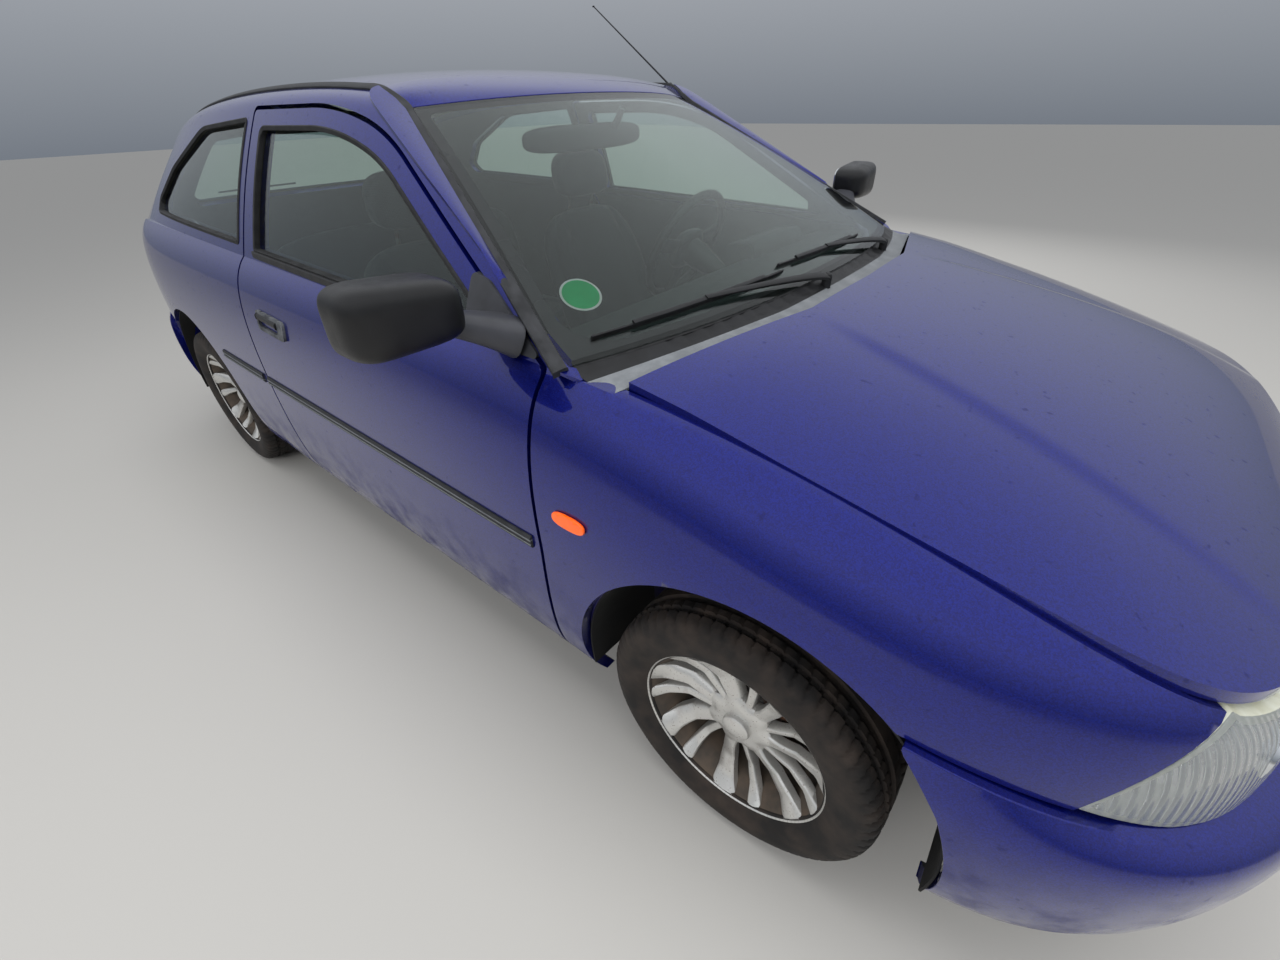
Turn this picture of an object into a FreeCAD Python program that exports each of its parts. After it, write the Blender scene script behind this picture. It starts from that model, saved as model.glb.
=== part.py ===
# Three-door hatchback car, full size, in millimetres.
# Frame: +X forward, +Y to the car's left, +Z up. The origin is on the ground, at the middle of the length and width.
# The outer skin comes from smooth surfaces over short tables of stations, pressed as narrow flat strips. Every outer
# panel is a thick piece cut out of such a skin along its shut lines, so that neighbours line up and keep a named gap.
import FreeCAD, Part
import math
import os
from functools import lru_cache
from FreeCAD import Placement, Rotation, Vector

doc = FreeCAD.newDocument("hatchback")
sheet = doc.addObject("Spreadsheet::Sheet", "Sizes")

# Driving sizes: alias, value in mm or degrees, meaning.
SIZES = [
    ("car_length", 3880, "nose to tail"),
    ("car_width", 1684, "across the doors, without the mirrors"),
    ("car_height", 1365, "ground to the top of the roof"),
    ("wheelbase", 2415, "front axle to rear axle"),
    ("front_overhang", 805, "front axle to the nose"),
    ("track", 1450, "between the middles of a pair of tyres"),
    ("tyre_radius", 284, "axle height, loaded"),
    ("tyre_width", 190, "across the sidewalls"),
    ("rim_radius", 196, "to the outside of the rim's lip"),
    ("rim_width", 158, "across the rim"),
    ("rim_wall", 9, "rim's barrel"),
    ("tyre_facets", 48, "flat strips round a tyre"),
    ("hub_radius", 66, "the wheel's middle plate"),
    ("cap_radius", 29, "centre cap"),
    ("spoke_pairs", 7, "one wide and one narrow spoke each"),
    ("disc_radius", 120, "brake disc or drum"),
    ("disc_thick", 18, "brake disc"),
    ("arch_radius", 358, "wheel opening in the body side"),
    ("arch_raise", 26, "arch centre above the axle"),
    ("sill_height", 200, "lower edge of the body side"),
    ("side_thick", 72, "doors and body sides below the glass"),
    ("wing_thick", 30, "front wings"),
    ("frame_thick", 46, "window frames and pillars"),
    ("skin_thick", 24, "bonnet and roof"),
    ("gate_thick", 46, "tailgate"),
    ("plate_screws", 300, "between the number plate's screw holes"),
    ("bumper_thick", 34, "bumpers' walls"),
    ("lamp_depth", 110, "headlamps and tail lamps"),
    ("glass_thick", 5, "all glass"),
    ("glass_set", 12, "glass behind the outer surface"),
    ("shut_gap", 9, "between a moving panel and the next"),
    ("joint_gap", 0.5, "between fixed panels"),
    ("seat_gap", 0.3, "between pieces that rest on each other"),
    ("door_front", 703, "door's front edge, from the middle of the car"),
    ("door_rear", 548, "door's rear edge, behind the middle of the car"),
    ("door_bottom", 228, "door's lower edge above the ground"),
    ("hinge_leaf", 56, "door hinge leaves, their height"),
    ("king_lean", 10, "steering axis leans in at the top, degrees"),
    ("king_offset", 90, "steering axis inside the tyre's middle"),
    ("stub_radius", 14, "wheel spindles"),
    ("run_clear", 0.05, "between a spindle and its bore"),
    ("floor_height", 225, "underside of the floor"),
    ("floor_thick", 22, "floor"),
    ("bay_half", 440, "engine bay's inner half width"),
    ("seat_width", 500, "front seat"),
    ("seat_offset", 365, "front seats from the middle"),
    ("bonnet_clear", 6, "from the bonnet's underside to what lies below"),
    ("grip_ring", 185, "steering wheel, to the middle of its rim"),
    ("grip_radius", 15, "steering wheel's rim, its section"),
    ("column_lean", 25, "steering column above level, degrees"),
    ("engine_long", 420, "engine, along the car"),
    ("engine_wide", 780, "engine and gearbox, across the car"),
    ("engine_tall", 480, "engine"),
    ("engine_base", 300, "underside of the engine above the ground"),
    ("pipe_radius", 24, "exhaust pipe"),
    ("aerial_length", 420, "rod aerial"),
    ("aerial_radius", 3, "rod aerial"),
]
for row, (alias, value, meaning) in enumerate(SIZES, start=1):
    sheet.set("A%d" % row, str(value))
    sheet.setAlias("A%d" % row, alias)
    sheet.set("B%d" % row, meaning)
doc.recompute()


def size(alias):
    """A driving size from the sheet."""
    return float(sheet.get(alias))


LENGTH = size("car_length")
HALF_WIDTH = size("car_width") / 2
HEIGHT = size("car_height")
NOSE = LENGTH / 2
TAIL = -LENGTH / 2
FRONT_AXLE = NOSE - size("front_overhang")
REAR_AXLE = FRONT_AXLE - size("wheelbase")
HALF_TRACK = size("track") / 2
AXLE_Z = size("tyre_radius")
TYRE_HALF = size("tyre_width") / 2
SHUT = size("shut_gap")
JOINT = size("joint_gap")
SEAT_GAP = size("seat_gap")
GLASS = size("glass_thick")
FRAME = size("frame_thick")
SIDE = size("side_thick")
SKIN = size("skin_thick")
GATE = size("gate_thick")
DOOR_FRONT = size("door_front")
DOOR_REAR = -size("door_rear")
DOOR_LOW = size("door_bottom")
SILL = size("sill_height")
FLOOR = size("floor_height")
FLOOR_TOP = FLOOR + size("floor_thick")
BAY = size("bay_half")
STUB = size("stub_radius")
KING_Y = HALF_TRACK - size("king_offset")
KING_TAN = math.tan(math.radians(size("king_lean")))
FAR = 3000.0
LEFT, RIGHT = 1, -1
SIDES = (("left", LEFT), ("right", RIGHT))
WIDE = HALF_WIDTH / 842.0
RISE = HEIGHT - 1365.0

# Small tools


def knots(count):
    """Clamped, evenly spaced knots of a cubic with that many poles: values, then multiplicities."""
    spans = count - 3
    values = [i / spans for i in range(spans + 1)]
    return values, [4] + [1] * (spans - 1) + [4]


def smooth(rows, along, across):
    """Points of the clamped cubic surface over rows of poles, on an even grid of its two parameters."""
    u, u_mults = knots(len(rows))
    v, v_mults = knots(len(rows[0]))
    surface = Part.BSplineSurface()
    surface.buildFromPolesMultsKnots(rows, u_mults, v_mults, u, v, False, False, 3, 3)
    return [[surface.value(i / along, j / across) for j in range(across + 1)] for i in range(along + 1)]


def facet(a, b, c):
    """A flat triangle."""
    return Part.Face(Part.makePolygon([a, b, c, a]))


def between(outer, inner):
    """The closed solid between two grids of points of the same size."""
    faces = []
    count, width = len(outer), len(outer[0])
    for grid in (outer, inner):
        for i in range(count - 1):
            for j in range(width - 1):
                a, b, c, d = grid[i][j], grid[i + 1][j], grid[i + 1][j + 1], grid[i][j + 1]
                if (a - c).Length <= (b - d).Length:
                    faces += [facet(a, b, c), facet(a, c, d)]
                else:
                    faces += [facet(a, b, d), facet(b, c, d)]
    rim = [(i, 0) for i in range(count)] + [(count - 1, j) for j in range(1, width)]
    rim += [(i, width - 1) for i in range(count - 2, -1, -1)] + [(0, j) for j in range(width - 2, 0, -1)]
    for k in range(len(rim)):
        (i, j), (m, n) = rim[k], rim[(k + 1) % len(rim)]
        a, b, c, d = outer[i][j], outer[m][n], inner[m][n], inner[i][j]
        faces += [facet(a, b, c), facet(a, c, d)]
    shell = Part.Shell(faces)
    shell.sewShape()
    solid = Part.Solid(shell)
    if solid.Volume < 0:
        solid.reverse()
    return solid


def shifted(grid, x, y, z):
    """A grid of points, moved."""
    return [[p + Vector(x, y, z) for p in row] for row in grid]


def rounded(corners, radii):
    """A closed wire of straight lines whose corners are rounded by tangent arcs."""
    edges, starts, ends, count = [], [], [], len(corners)
    for i in range(count):
        here, before, after = corners[i], corners[i - 1], corners[(i + 1) % count]
        to_before, to_after = (before - here).normalize(), (after - here).normalize()
        half = to_before.getAngle(to_after) / 2
        if radii[i] <= 0 or math.pi / 2 - half < 0.01:
            starts.append(here)
            ends.append(here)
            edges.append(None)
            continue
        reach = radii[i] / math.tan(half)
        first, last = here + to_before * reach, here + to_after * reach
        centre = here + (to_before + to_after).normalize() * (radii[i] / math.sin(half))
        middle = centre + (here - centre).normalize() * radii[i]
        starts.append(first)
        ends.append(last)
        edges.append(Part.Arc(first, middle, last).toShape())
    path = []
    for i in range(count):
        if edges[i]:
            path.append(edges[i])
        follow = starts[(i + 1) % count]
        if (follow - ends[i]).Length > 0.01:
            path.append(Part.LineSegment(ends[i], follow).toShape())
    return Part.Wire(path)


def outline_face(points, place):
    """A flat face from an outline of pairs. A third value in a point rounds its corner by that radius."""
    return Part.Face(rounded([place(p[0], p[1]) for p in points], [p[2] if len(p) > 2 else 0 for p in points]))


def side_prism(points, side, near=0.0, far=FAR):
    """An outline of the side view, run out from the middle plane on one side of the car."""
    face = outline_face(points, lambda x, z: Vector(x, side * near, z))
    return face.extrude(Vector(0, side * (far - near), 0))


def across_prism(points, half=FAR):
    """An outline of the side view, run across the whole car."""
    face = outline_face(points, lambda x, z: Vector(x, -half, z))
    return face.extrude(Vector(0, 2 * half, 0))


def plan_prism(points, low=-FAR, high=FAR):
    """An outline of the plan view, run from one height to another."""
    return outline_face(points, lambda x, y: Vector(x, y, low)).extrude(Vector(0, 0, high - low))


def front_prism(points, back=-FAR, fore=FAR):
    """An outline of the front view, run from one x to another."""
    return outline_face(points, lambda y, z: Vector(back, y, z)).extrude(Vector(fore - back, 0, 0))


def box(x0, x1, y0, y1, z0, z1):
    """A box between two corners, given in any order across the car."""
    y0, y1 = min(y0, y1), max(y0, y1)
    return Part.makeBox(x1 - x0, y1 - y0, z1 - z0, Vector(x0, y0, z0))


def rod(start, end, radius):
    """A round bar between two points."""
    a, b = Vector(*start), Vector(*end)
    return Part.makeCylinder(radius, (b - a).Length, a, b - a)


def fused(shapes):
    """One solid out of pieces that meet."""
    return shapes[0].multiFuse(shapes[1:]).removeSplitter()


def both(make):
    """The same piece on both sides of the car, as one shape of two solids."""
    return Part.Compound([make(LEFT), make(RIGHT)])


def biggest(shape):
    """The largest solid of a cut, without loose slivers."""
    return sorted(shape.Solids, key=lambda s: s.Volume)[-1]


def grown(points, by):
    """The outline moved outward by a gap: each side is shifted, then the corners are found again."""
    count, total = len(points), 0.0
    for i in range(count):
        (ax, az), (bx, bz) = points[i][:2], points[(i + 1) % count][:2]
        total += ax * bz - bx * az
    turn = 1 if total > 0 else -1
    moved = []
    for i in range(count):
        a, b, c = points[i - 1], points[i], points[(i + 1) % count]
        first = unit(b[0] - a[0], b[1] - a[1])
        second = unit(c[0] - b[0], c[1] - b[1])
        n1 = (turn * first[1], -turn * first[0])
        n2 = (turn * second[1], -turn * second[0])
        scale = by / (1 + n1[0] * n2[0] + n1[1] * n2[1])
        corner = (b[0] + (n1[0] + n2[0]) * scale, b[1] + (n1[1] + n2[1]) * scale)
        bulge = 1 if (first[0] * second[1] - first[1] * second[0]) * turn > 0 else -1
        moved.append(corner + ((max(0.0, b[2] + by * bulge),) if len(b) > 2 else ()))
    return moved


def unit(x, z):
    """A pair scaled to length one."""
    length = math.hypot(x, z)
    return x / length, z / length


pieces = []


def keep(label, shape):
    """A sub-part whose shape is worked out by the functions here, as an object of the document."""
    obj = doc.addObject("Part::Feature", label)
    obj.Label = label
    obj.Shape = shape
    obj.Placement = Placement()
    pieces.append(obj)
    return obj


# The body's ribbon: one skin round each side of the car from tail to nose, below the glass

# Stations on the left. x is measured from the tail, the middle or the nose; x and y are the widest point;
# nx and ny point into the car; top is the upper edge's height and top_in and low_in how far in the edges lie.
RIBBON = [
    ("tail", 58, 0, 1.00, 0.00, 905, 26, 30),
    ("tail", 62, 250, 1.00, 0.00, 905, 26, 30),
    ("tail", 82, 480, 0.97, -0.24, 906, 30, 34),
    ("tail", 122, 650, 0.85, -0.52, 912, 40, 44),
    ("tail", 205, 765, 0.50, -0.86, 930, 58, 56),
    ("tail", 350, 817, 0.20, -0.98, 948, 68, 60),
    ("tail", 590, 836, 0.00, -1.00, 951, 73, 60),
    ("mid", -900, 842, 0.00, -1.00, 944, 74, 60),
    ("mid", -300, 842, 0.00, -1.00, 933, 73, 60),
    ("mid", 300, 842, 0.00, -1.00, 921, 73, 60),
    ("mid", 800, 842, 0.00, -1.00, 908, 92, 60),
    ("nose", 760, 839, 0.00, -1.00, 844, 116, 60),
    ("nose", 520, 818, -0.15, -0.99, 784, 112, 58),
    ("nose", 365, 768, -0.40, -0.92, 740, 80, 54),
    ("nose", 250, 700, -0.60, -0.80, 702, 42, 44),
    ("nose", 172, 600, -0.80, -0.60, 676, 42, 36),
    ("nose", 120, 430, -0.95, -0.30, 664, 42, 32),
    ("nose", 90, 220, -1.00, 0.00, 660, 42, 30),
    ("nose", 84, 0, -1.00, 0.00, 660, 42, 30),
]
# Rows of a section, from the lower edge up: share of the height, share of low_in, share of top_in.
RIBBON_ROWS = [
    (0.00, 1.00, 0.00),
    (0.06, 0.45, 0.00),
    (0.20, 0.02, 0.00),
    (0.48, 0.00, -0.03),
    (0.70, 0.00, 0.00),
    (0.87, 0.00, 0.22),
    (0.96, 0.00, 0.58),
    (1.00, 0.00, 1.00),
]
RIBBON_GRID = (22, 8)


def from_end(origin, x):
    """The x of a station that is measured from the tail, the middle or the nose."""
    return {"tail": TAIL + x, "mid": x, "nose": NOSE - x}[origin]


def ribbon_edge(inset):
    """The plan outline of the ribbon's upper edge round the nose, moved in by an inset, left side then right."""
    line = []
    for (origin, x, y, nx, ny, top, top_in, low_in) in RIBBON:
        px = from_end(origin, x) + nx * (top_in + inset)
        if px > 700 and y > 0:
            line.append((px, y * WIDE + ny * (top_in + inset)))
    return line + [(x, -y) for x, y in reversed(line)]


def ribbon_rows(side, inset=0.0):
    """Poles of the ribbon on one side, moved in by an inset."""
    rows = []
    for origin, x, y, nx, ny, top, top_in, low_in in RIBBON:
        line = []
        for up, low_share, top_share in RIBBON_ROWS:
            move = low_share * low_in + top_share * top_in + inset
            px = from_end(origin, x) + nx * move
            py = max(0.0, y * WIDE + ny * move)
            line.append(Vector(px, side * py, SILL + up * (top - SILL)))
        rows.append(line)
    return rows


def ribbon(side, thickness):
    """The body side below the glass as one thick piece, from tail to nose."""
    return between(smooth(ribbon_rows(side), *RIBBON_GRID), smooth(ribbon_rows(side, thickness), *RIBBON_GRID))


# The glasshouse: a skin on each side from the belt over the cantrail to the roof's edge, and the roof between

# Stations: x, belt y, belt z, cantrail y, cantrail z, roof edge y, roof edge z, roof's crown above its edge
HOUSE = [
    (-1800, 690, 925, 486, 1120, 420, 1142, 20),
    (-1600, 738, 943, 545, 1175, 478, 1203, 26),
    (-1350, 760, 950, 574, 1226, 512, 1258, 34),
    (-1050, 768, 946, 598, 1268, 538, 1302, 39),
    (-600, 770, 937, 614, 1294, 553, 1328, 42),
    (-150, 770, 928, 612, 1296, 552, 1329, 40),
    (150, 770, 922, 604, 1274, 545, 1304, 30),
    (450, 768, 915, 596, 1228, 536, 1256, 12),
    (800, 748, 905, 588, 1166, 526, 1190, 0),
]
HOUSE_SHARES = (0.0, 0.33, 0.68, 1.0)
HOUSE_BOW = 14.0
SHOULDER_IN, SHOULDER_UP = 16.0, 26.0
HOUSE_GRID = (9, 5)
ROOF_ROWS = [(-1.0, 0.0), (-0.82, 0.45), (-0.4, 1.0), (0.4, 1.0), (0.82, 0.45), (1.0, 0.0)]
ROOF_GRID = (9, 8)


def house_rows(side, inset=0.0):
    """Poles of the glasshouse side, moved in by an inset."""
    rows = []
    for x, belt_y, belt_z, rail_y, rail_z, edge_y, edge_z, crown in HOUSE:
        line = []
        for share in HOUSE_SHARES:
            y = belt_y + (rail_y - belt_y) * share + HOUSE_BOW * math.sin(math.pi * share)
            z = belt_z - 4 + (rail_z + RISE - belt_z + 4) * share
            line.append(Vector(x, side * (y * WIDE - inset), z))
        shoulder_y = (rail_y - SHOULDER_IN) * WIDE - inset * 0.6
        line.append(Vector(x, side * shoulder_y, rail_z + SHOULDER_UP + RISE - inset * 0.7))
        line.append(Vector(x, side * edge_y * WIDE, edge_z + RISE - inset))
        rows.append(line)
    return rows


def house(side, outer, inner):
    """The glasshouse side between two depths below its outer surface."""
    return between(smooth(house_rows(side, outer), *HOUSE_GRID), smooth(house_rows(side, inner), *HOUSE_GRID))


def roof_rows(drop=0.0):
    """Poles of the roof, lowered by a drop."""
    rows = []
    for x, belt_y, belt_z, rail_y, rail_z, edge_y, edge_z, crown in HOUSE:
        rows.append([Vector(x, share * edge_y * WIDE, edge_z + crown * up + RISE - drop) for share, up in ROOF_ROWS])
    return rows


# The bonnet

# Stations: x from the nose, edge y, edge z, middle z
BONNET = [
    (1180, 760, 912, 960),
    (960, 750, 882, 942),
    (740, 730, 842, 905),
    (500, 712, 784, 856),
    (330, 696, 738, 802),
    (210, 684, 700, 742),
    (130, 672, 672, 684),
    (60, 664, 640, 610),
]
BONNET_ROWS = [
    (-1.0, 0.0), (-0.84, 0.42), (-0.5, 0.86), (-0.2, 1.0), (0.2, 1.0), (0.5, 0.86), (0.84, 0.42), (1.0, 0.0),
]
BONNET_GRID = (8, 10)


def bonnet_rows(drop=0.0):
    """Poles of the bonnet, lowered by a drop."""
    rows = []
    for back, edge_y, edge_z, middle in BONNET:
        line = []
        for share, up in BONNET_ROWS:
            line.append(Vector(NOSE - back, share * edge_y * WIDE, edge_z + (middle - edge_z) * up - drop))
        rows.append(line)
    return rows


# The tail: one skin for the tailgate's glass and lower panel

# Stations up the tail: z, x from the tail at the middle, how far the sides lie forward
TAIL_STATIONS = [
    (560, 56, 69),
    (700, 56, 69),
    (850, 64, 72),
    (930, 84, 84),
    (1030, 172, 100),
    (1130, 292, 112),
    (1230, 438, 118),
    (1310, 590, 118),
]
TAIL_ROWS = [(-1.0, 1.0), (-0.8, 0.5), (-0.4, 0.05), (0.0, 0.0), (0.4, 0.05), (0.8, 0.5), (1.0, 1.0)]
TAIL_HALF = 660.0
TAIL_GRID = (9, 10)


def tail_rows(inset=0.0):
    """Poles of the tail, moved forward by an inset."""
    rows = []
    for z, x, sweep in TAIL_STATIONS:
        middle = TAIL + x + inset
        rows.append([Vector(middle + sweep * part, share * TAIL_HALF * WIDE, z) for share, part in TAIL_ROWS])
    return rows


# The windscreen

# Stations up the glass: share of the way, bulge of the middle forward
SCREEN_FOOT = (735.0, 756.0, 915.0)
SCREEN_HEAD = (63.0, 520.0, 1277.0)
SCREEN_MID_FOOT = (885.0, 938.0)
SCREEN_MID_HEAD = (176.0, 1299.0)
SCREEN_STATIONS = [(0.0, 0), (0.33, 10), (0.67, 10), (1.0, 0)]
SCREEN_ROWS = [(-1.0, 0.0), (-0.8, 0.45), (-0.4, 1.0), (0.4, 1.0), (0.8, 0.45), (1.0, 0.0)]
SCREEN_GRID = (6, 10)
SCREEN_REACH = 760.0


def screen_rows(sink=0.0, beyond=0.0):
    """Poles of the windscreen, lowered by a sink; beyond carries it on past its edges by that share."""
    rows = []
    for share, bulge in SCREEN_STATIONS:
        up = share + beyond * (2 * share - 1)
        side_x = SCREEN_FOOT[0] + (SCREEN_HEAD[0] - SCREEN_FOOT[0]) * up
        side_y = (SCREEN_FOOT[1] + (SCREEN_HEAD[1] - SCREEN_FOOT[1]) * up) * WIDE
        side_z = SCREEN_FOOT[2] + (SCREEN_HEAD[2] + RISE - SCREEN_FOOT[2]) * up
        mid_x = SCREEN_MID_FOOT[0] + (SCREEN_MID_HEAD[0] - SCREEN_MID_FOOT[0]) * up
        mid_z = SCREEN_MID_FOOT[1] + (SCREEN_MID_HEAD[1] + RISE - SCREEN_MID_FOOT[1]) * up
        line = []
        for across, part in SCREEN_ROWS:
            wide = across * side_y * (1 + beyond)
            part_out = part if beyond == 0 or part > 0 else -2 * beyond
            x = side_x + (mid_x - side_x) * part_out + bulge
            z = side_z + (mid_z - side_z) * part_out + bulge - sink
            line.append(Vector(x, wide, z))
        rows.append(line)
    return rows


# The bumpers: one section carried round each end of the car

# Plan stations on the left: x from the end of the car, y, and the direction into the car
FRONT_BUMPER = [
    (470, 836, 0.00, -1.00),
    (400, 826, -0.08, -1.00),
    (300, 792, -0.35, -0.94),
    (190, 716, -0.60, -0.80),
    (96, 590, -0.78, -0.62),
    (40, 420, -0.93, -0.36),
    (8, 200, -1.00, -0.06),
    (0, 0, -1.00, 0.00),
]
REAR_BUMPER = [
    (330, 832, 0.00, -1.00),
    (260, 824, 0.12, -0.99),
    (165, 782, 0.50, -0.86),
    (80, 690, 0.80, -0.60),
    (32, 540, 0.96, -0.28),
    (6, 300, 1.00, -0.04),
    (0, 0, 1.00, 0.00),
]
# Section from the lower edge up: z, how far inside the most outward point
FRONT_SECTION = [(205, 62), (222, 34), (290, 8), (400, -2), (478, 0), (520, 22), (548, 66)]
REAR_SECTION = [(240, 62), (255, 34), (320, 8), (430, -2), (530, 0), (580, 12), (612, 60)]
BUMPER_GRID = (20, 6)


def bumper_rows(stations, section, end, inset=0.0):
    """Poles of a bumper from the left wheel opening round to the right one."""
    rows = []
    other = [(x, -y, nx, -ny) for x, y, nx, ny in reversed(stations[:-1])]
    for x, y, nx, ny in stations + other:
        line = []
        for z, move in section:
            px = (NOSE - x if end > 0 else TAIL + x) + nx * (move + inset)
            line.append(Vector(px, y * WIDE + ny * (move + inset), z))
        rows.append(line)
    return rows


def bumper(stations, section, end):
    """A bumper's wall."""
    wall = size("bumper_thick")
    outer = smooth(bumper_rows(stations, section, end), *BUMPER_GRID)
    return between(outer, smooth(bumper_rows(stations, section, end, wall), *BUMPER_GRID))


# Outlines in the side view. A third value rounds the corner.

HEAD_Z = HEIGHT - 80
DOOR = [
    (DOOR_FRONT, DOOR_LOW, 30),
    (DOOR_FRONT + 6, 560, 200),
    (DOOR_FRONT - 14, 898, 14),
    (120, 1240, 190),
    (-90, HEAD_Z, 300),
    (DOOR_REAR + 34, HEAD_Z - 2, 14),
    (DOOR_REAR - 6, 936, 200),
    (DOOR_REAR + 14, 560, 200),
    (DOOR_REAR + 60, DOOR_LOW, 60),
]
DOOR_WINDOW = [
    (560, 930, 10),
    (120, 1194, 160),
    (-80, HEAD_Z - 38, 260),
    (DOOR_REAR + 84, HEAD_Z - 40, 22),
    (DOOR_REAR + 66, 958, 10),
]
QUARTER = [
    (DOOR_REAR - 44, 966, 10),
    (DOOR_REAR - 16, HEAD_Z - 22, 12),
    (-960, 1240, 300),
    (-1270, 1122, 200),
    (-1450, 984, 30),
]
WING_REAR = DOOR_FRONT + SHUT
WING_FRONT = WING_REAR - 11
HINGE_POST = 52.0
HINGE_Z = (400.0, 720.0)
HOUSING_OVER = 10.0
HOUSING_WALL = 14.0
FRONT_BUMPER_TOP = [(NOSE - 560, 580), (NOSE - 352, 543), (NOSE - 250, 520), (NOSE + 50, 498)]
LAMP_SIDE = [(NOSE - 264, 760)] + [(x, z + JOINT) for x, z in FRONT_BUMPER_TOP[1:]] + [(NOSE + 50, 760)]
LAMP_INNER = 428.0
REAR_BUMPER_TOP = [(TAIL + 345, 592), (TAIL + 205, 612), (TAIL - 50, 616)]
TAIL_LAMP = [(TAIL - 50, 642), (TAIL + 178, 642, 20), (TAIL + 250, 880, 20), (TAIL + 200, 1000), (TAIL - 50, 1000)]
GATE_HALF = 560.0
# The tailgate's outline in the front view, and its window
GATE_LINE = [(GATE_HALF, 622, 14), (GATE_HALF, 900, 40), (622, 950, 40), (466, 1330)]
GATE_WINDOW = [(536, 962, 40), (430, 1212, 60)]


def mirror_line(points):
    """A left-hand outline of the front view carried on down the right side."""
    return list(points) + [(-p[0],) + tuple(p[1:]) for p in reversed(points)]


def front_bumper_region():
    """What belongs to the front bumper, seen from the side."""
    return [(NOSE - 561, 100)] + FRONT_BUMPER_TOP + [(NOSE + 50, 100)]


def rear_bumper_region():
    """What belongs to the rear bumper, seen from the side."""
    return [(TAIL + 346, 100)] + REAR_BUMPER_TOP + [(TAIL - 50, 100)]


def wheel_hole(x, side, near, extra=0.0):
    """The round opening in the body side over a wheel."""
    centre = Vector(x + 12, side * near, AXLE_Z + size("arch_raise"))
    return Part.makeCylinder(size("arch_radius") + extra, 900, centre, Vector(0, side, 0))


def half(side, x0=-FAR, x1=FAR, z0=-FAR, z1=FAR, near=0.0):
    """The space on one side of the car, between two x and two heights."""
    return box(x0, x1, side * near, side * FAR, z0, z1)


@lru_cache
def above_screen():
    """The space over the windscreen's outer surface and its continuation."""
    grid = smooth(screen_rows(0.0, 0.25), *SCREEN_GRID)
    return between(shifted(grid, 600, 0, 600), grid)


@lru_cache
def screen(grow=0.0):
    """The windscreen, or the room that it takes when grown all round."""
    grid = smooth(screen_rows(0.0, grow / SCREEN_REACH), *SCREEN_GRID)
    return between(shifted(grid, 0, 0, grow), shifted(grid, 0, 0, -GLASS - grow))


@lru_cache
def gate_room():
    """The room that the tailgate takes in the body, with its gap."""
    room = between(smooth(tail_rows(-SHUT), *TAIL_GRID), smooth(tail_rows(GATE + 2 * SHUT), *TAIL_GRID))
    return room.common(front_prism(grown(mirror_line(GATE_LINE), SHUT + 2), TAIL - 100, TAIL + 900))


@lru_cache
def under_bonnet(gap):
    """The space over a surface that lies some way below the bonnet's underside, inside the wings' upper edges."""
    grid = smooth(bonnet_rows(SKIN + gap), *BONNET_GRID)
    line = ribbon_edge(SHUT - size("bonnet_clear"))
    return between(shifted(grid, 0, 0, 400), grid).common(plan_prism(line))


# Body panels


def side_frame(side):
    """The welded body side round the door: quarter panel, pillars, sill and cantrail."""
    post = WING_REAR + HINGE_POST
    lower = ribbon(side, SIDE).common(half(side, TAIL + 60, post, 0, 1500))
    wing_room = ribbon(side, size("wing_thick") + JOINT).common(half(side, WING_FRONT - JOINT, post + 10, 0, 1500))
    upper = house(side, 0, FRAME).common(half(side, -1640, DOOR_FRONT, 880, 1500))
    slope = [(-1376, 1500), (-1388, 1262), (-1545, 1100), (-1690, 962), (-1712, 880), (-2200, 880), (-2200, 1500)]
    upper = upper.cut(side_prism(slope, side)).cut(above_screen()).cut(screen(SEAT_GAP))
    shape = upper.fuse(lower).cut(wing_room)
    for cutter in (
        side_prism(grown(DOOR, SHUT), side),
        side_prism(QUARTER, side),
        wheel_hole(REAR_AXLE, side, 300),
        wheel_hole(FRONT_AXLE, side, 300, HOUSING_OVER + JOINT),
        side_prism(grown(rear_bumper_region(), JOINT), side),
        side_prism(grown(TAIL_LAMP, JOINT), side),
        box(TAIL - 50, TAIL + 300, 0, side * (GATE_HALF + SHUT), 0, 960),
        gate_room(),
    ):
        shape = shape.cut(cutter)
    shape = biggest(shape)
    leaf = size("hinge_leaf") / 2
    low, high = sorted((side * (HALF_WIDTH - SIDE), side * (HALF_WIDTH - size("wing_thick") - SHUT)))
    for z in HINGE_Z:
        block = box(WING_REAR - SHUT, WING_REAR + 10, low, high, z - leaf, z + leaf)
        shape = shape.fuse(block.cut(side_prism(grown(DOOR, SEAT_GAP), side)).cut(wing_room))
    return biggest(shape.removeSplitter())


def front_wing(side):
    """A front wing, from the door to the headlamp and down to the sill and bumper."""
    shape = ribbon(side, size("wing_thick")).common(half(side, WING_FRONT, NOSE, 0, 1500))
    for cutter in (
        side_prism(grown(DOOR, SHUT), side),
        wheel_hole(FRONT_AXLE, side, 300),
        side_prism(grown(front_bumper_region(), JOINT), side),
        side_prism(grown(LAMP_SIDE, JOINT), side),
        half(side, FRONT_AXLE, NOSE, 0, AXLE_Z + 120),
        under_bonnet(size("bonnet_clear")),
    ):
        shape = shape.cut(cutter)
    return biggest(shape)


def door(side):
    """A door as thick as the body side, with its window frame."""
    outline = side_prism(DOOR, side)
    lower = ribbon(side, SIDE).common(outline)
    upper = house(side, 0, FRAME).common(outline).common(half(side, -FAR, FAR, 870, FAR))
    return biggest(upper.fuse(lower).cut(side_prism(DOOR_WINDOW, side)))


def pane(side, outline):
    """A side window, set behind the outer surface and held all round."""
    depth = size("glass_set")
    return biggest(house(side, depth, depth + GLASS).common(side_prism(grown(outline, -SEAT_GAP), side)))


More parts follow.
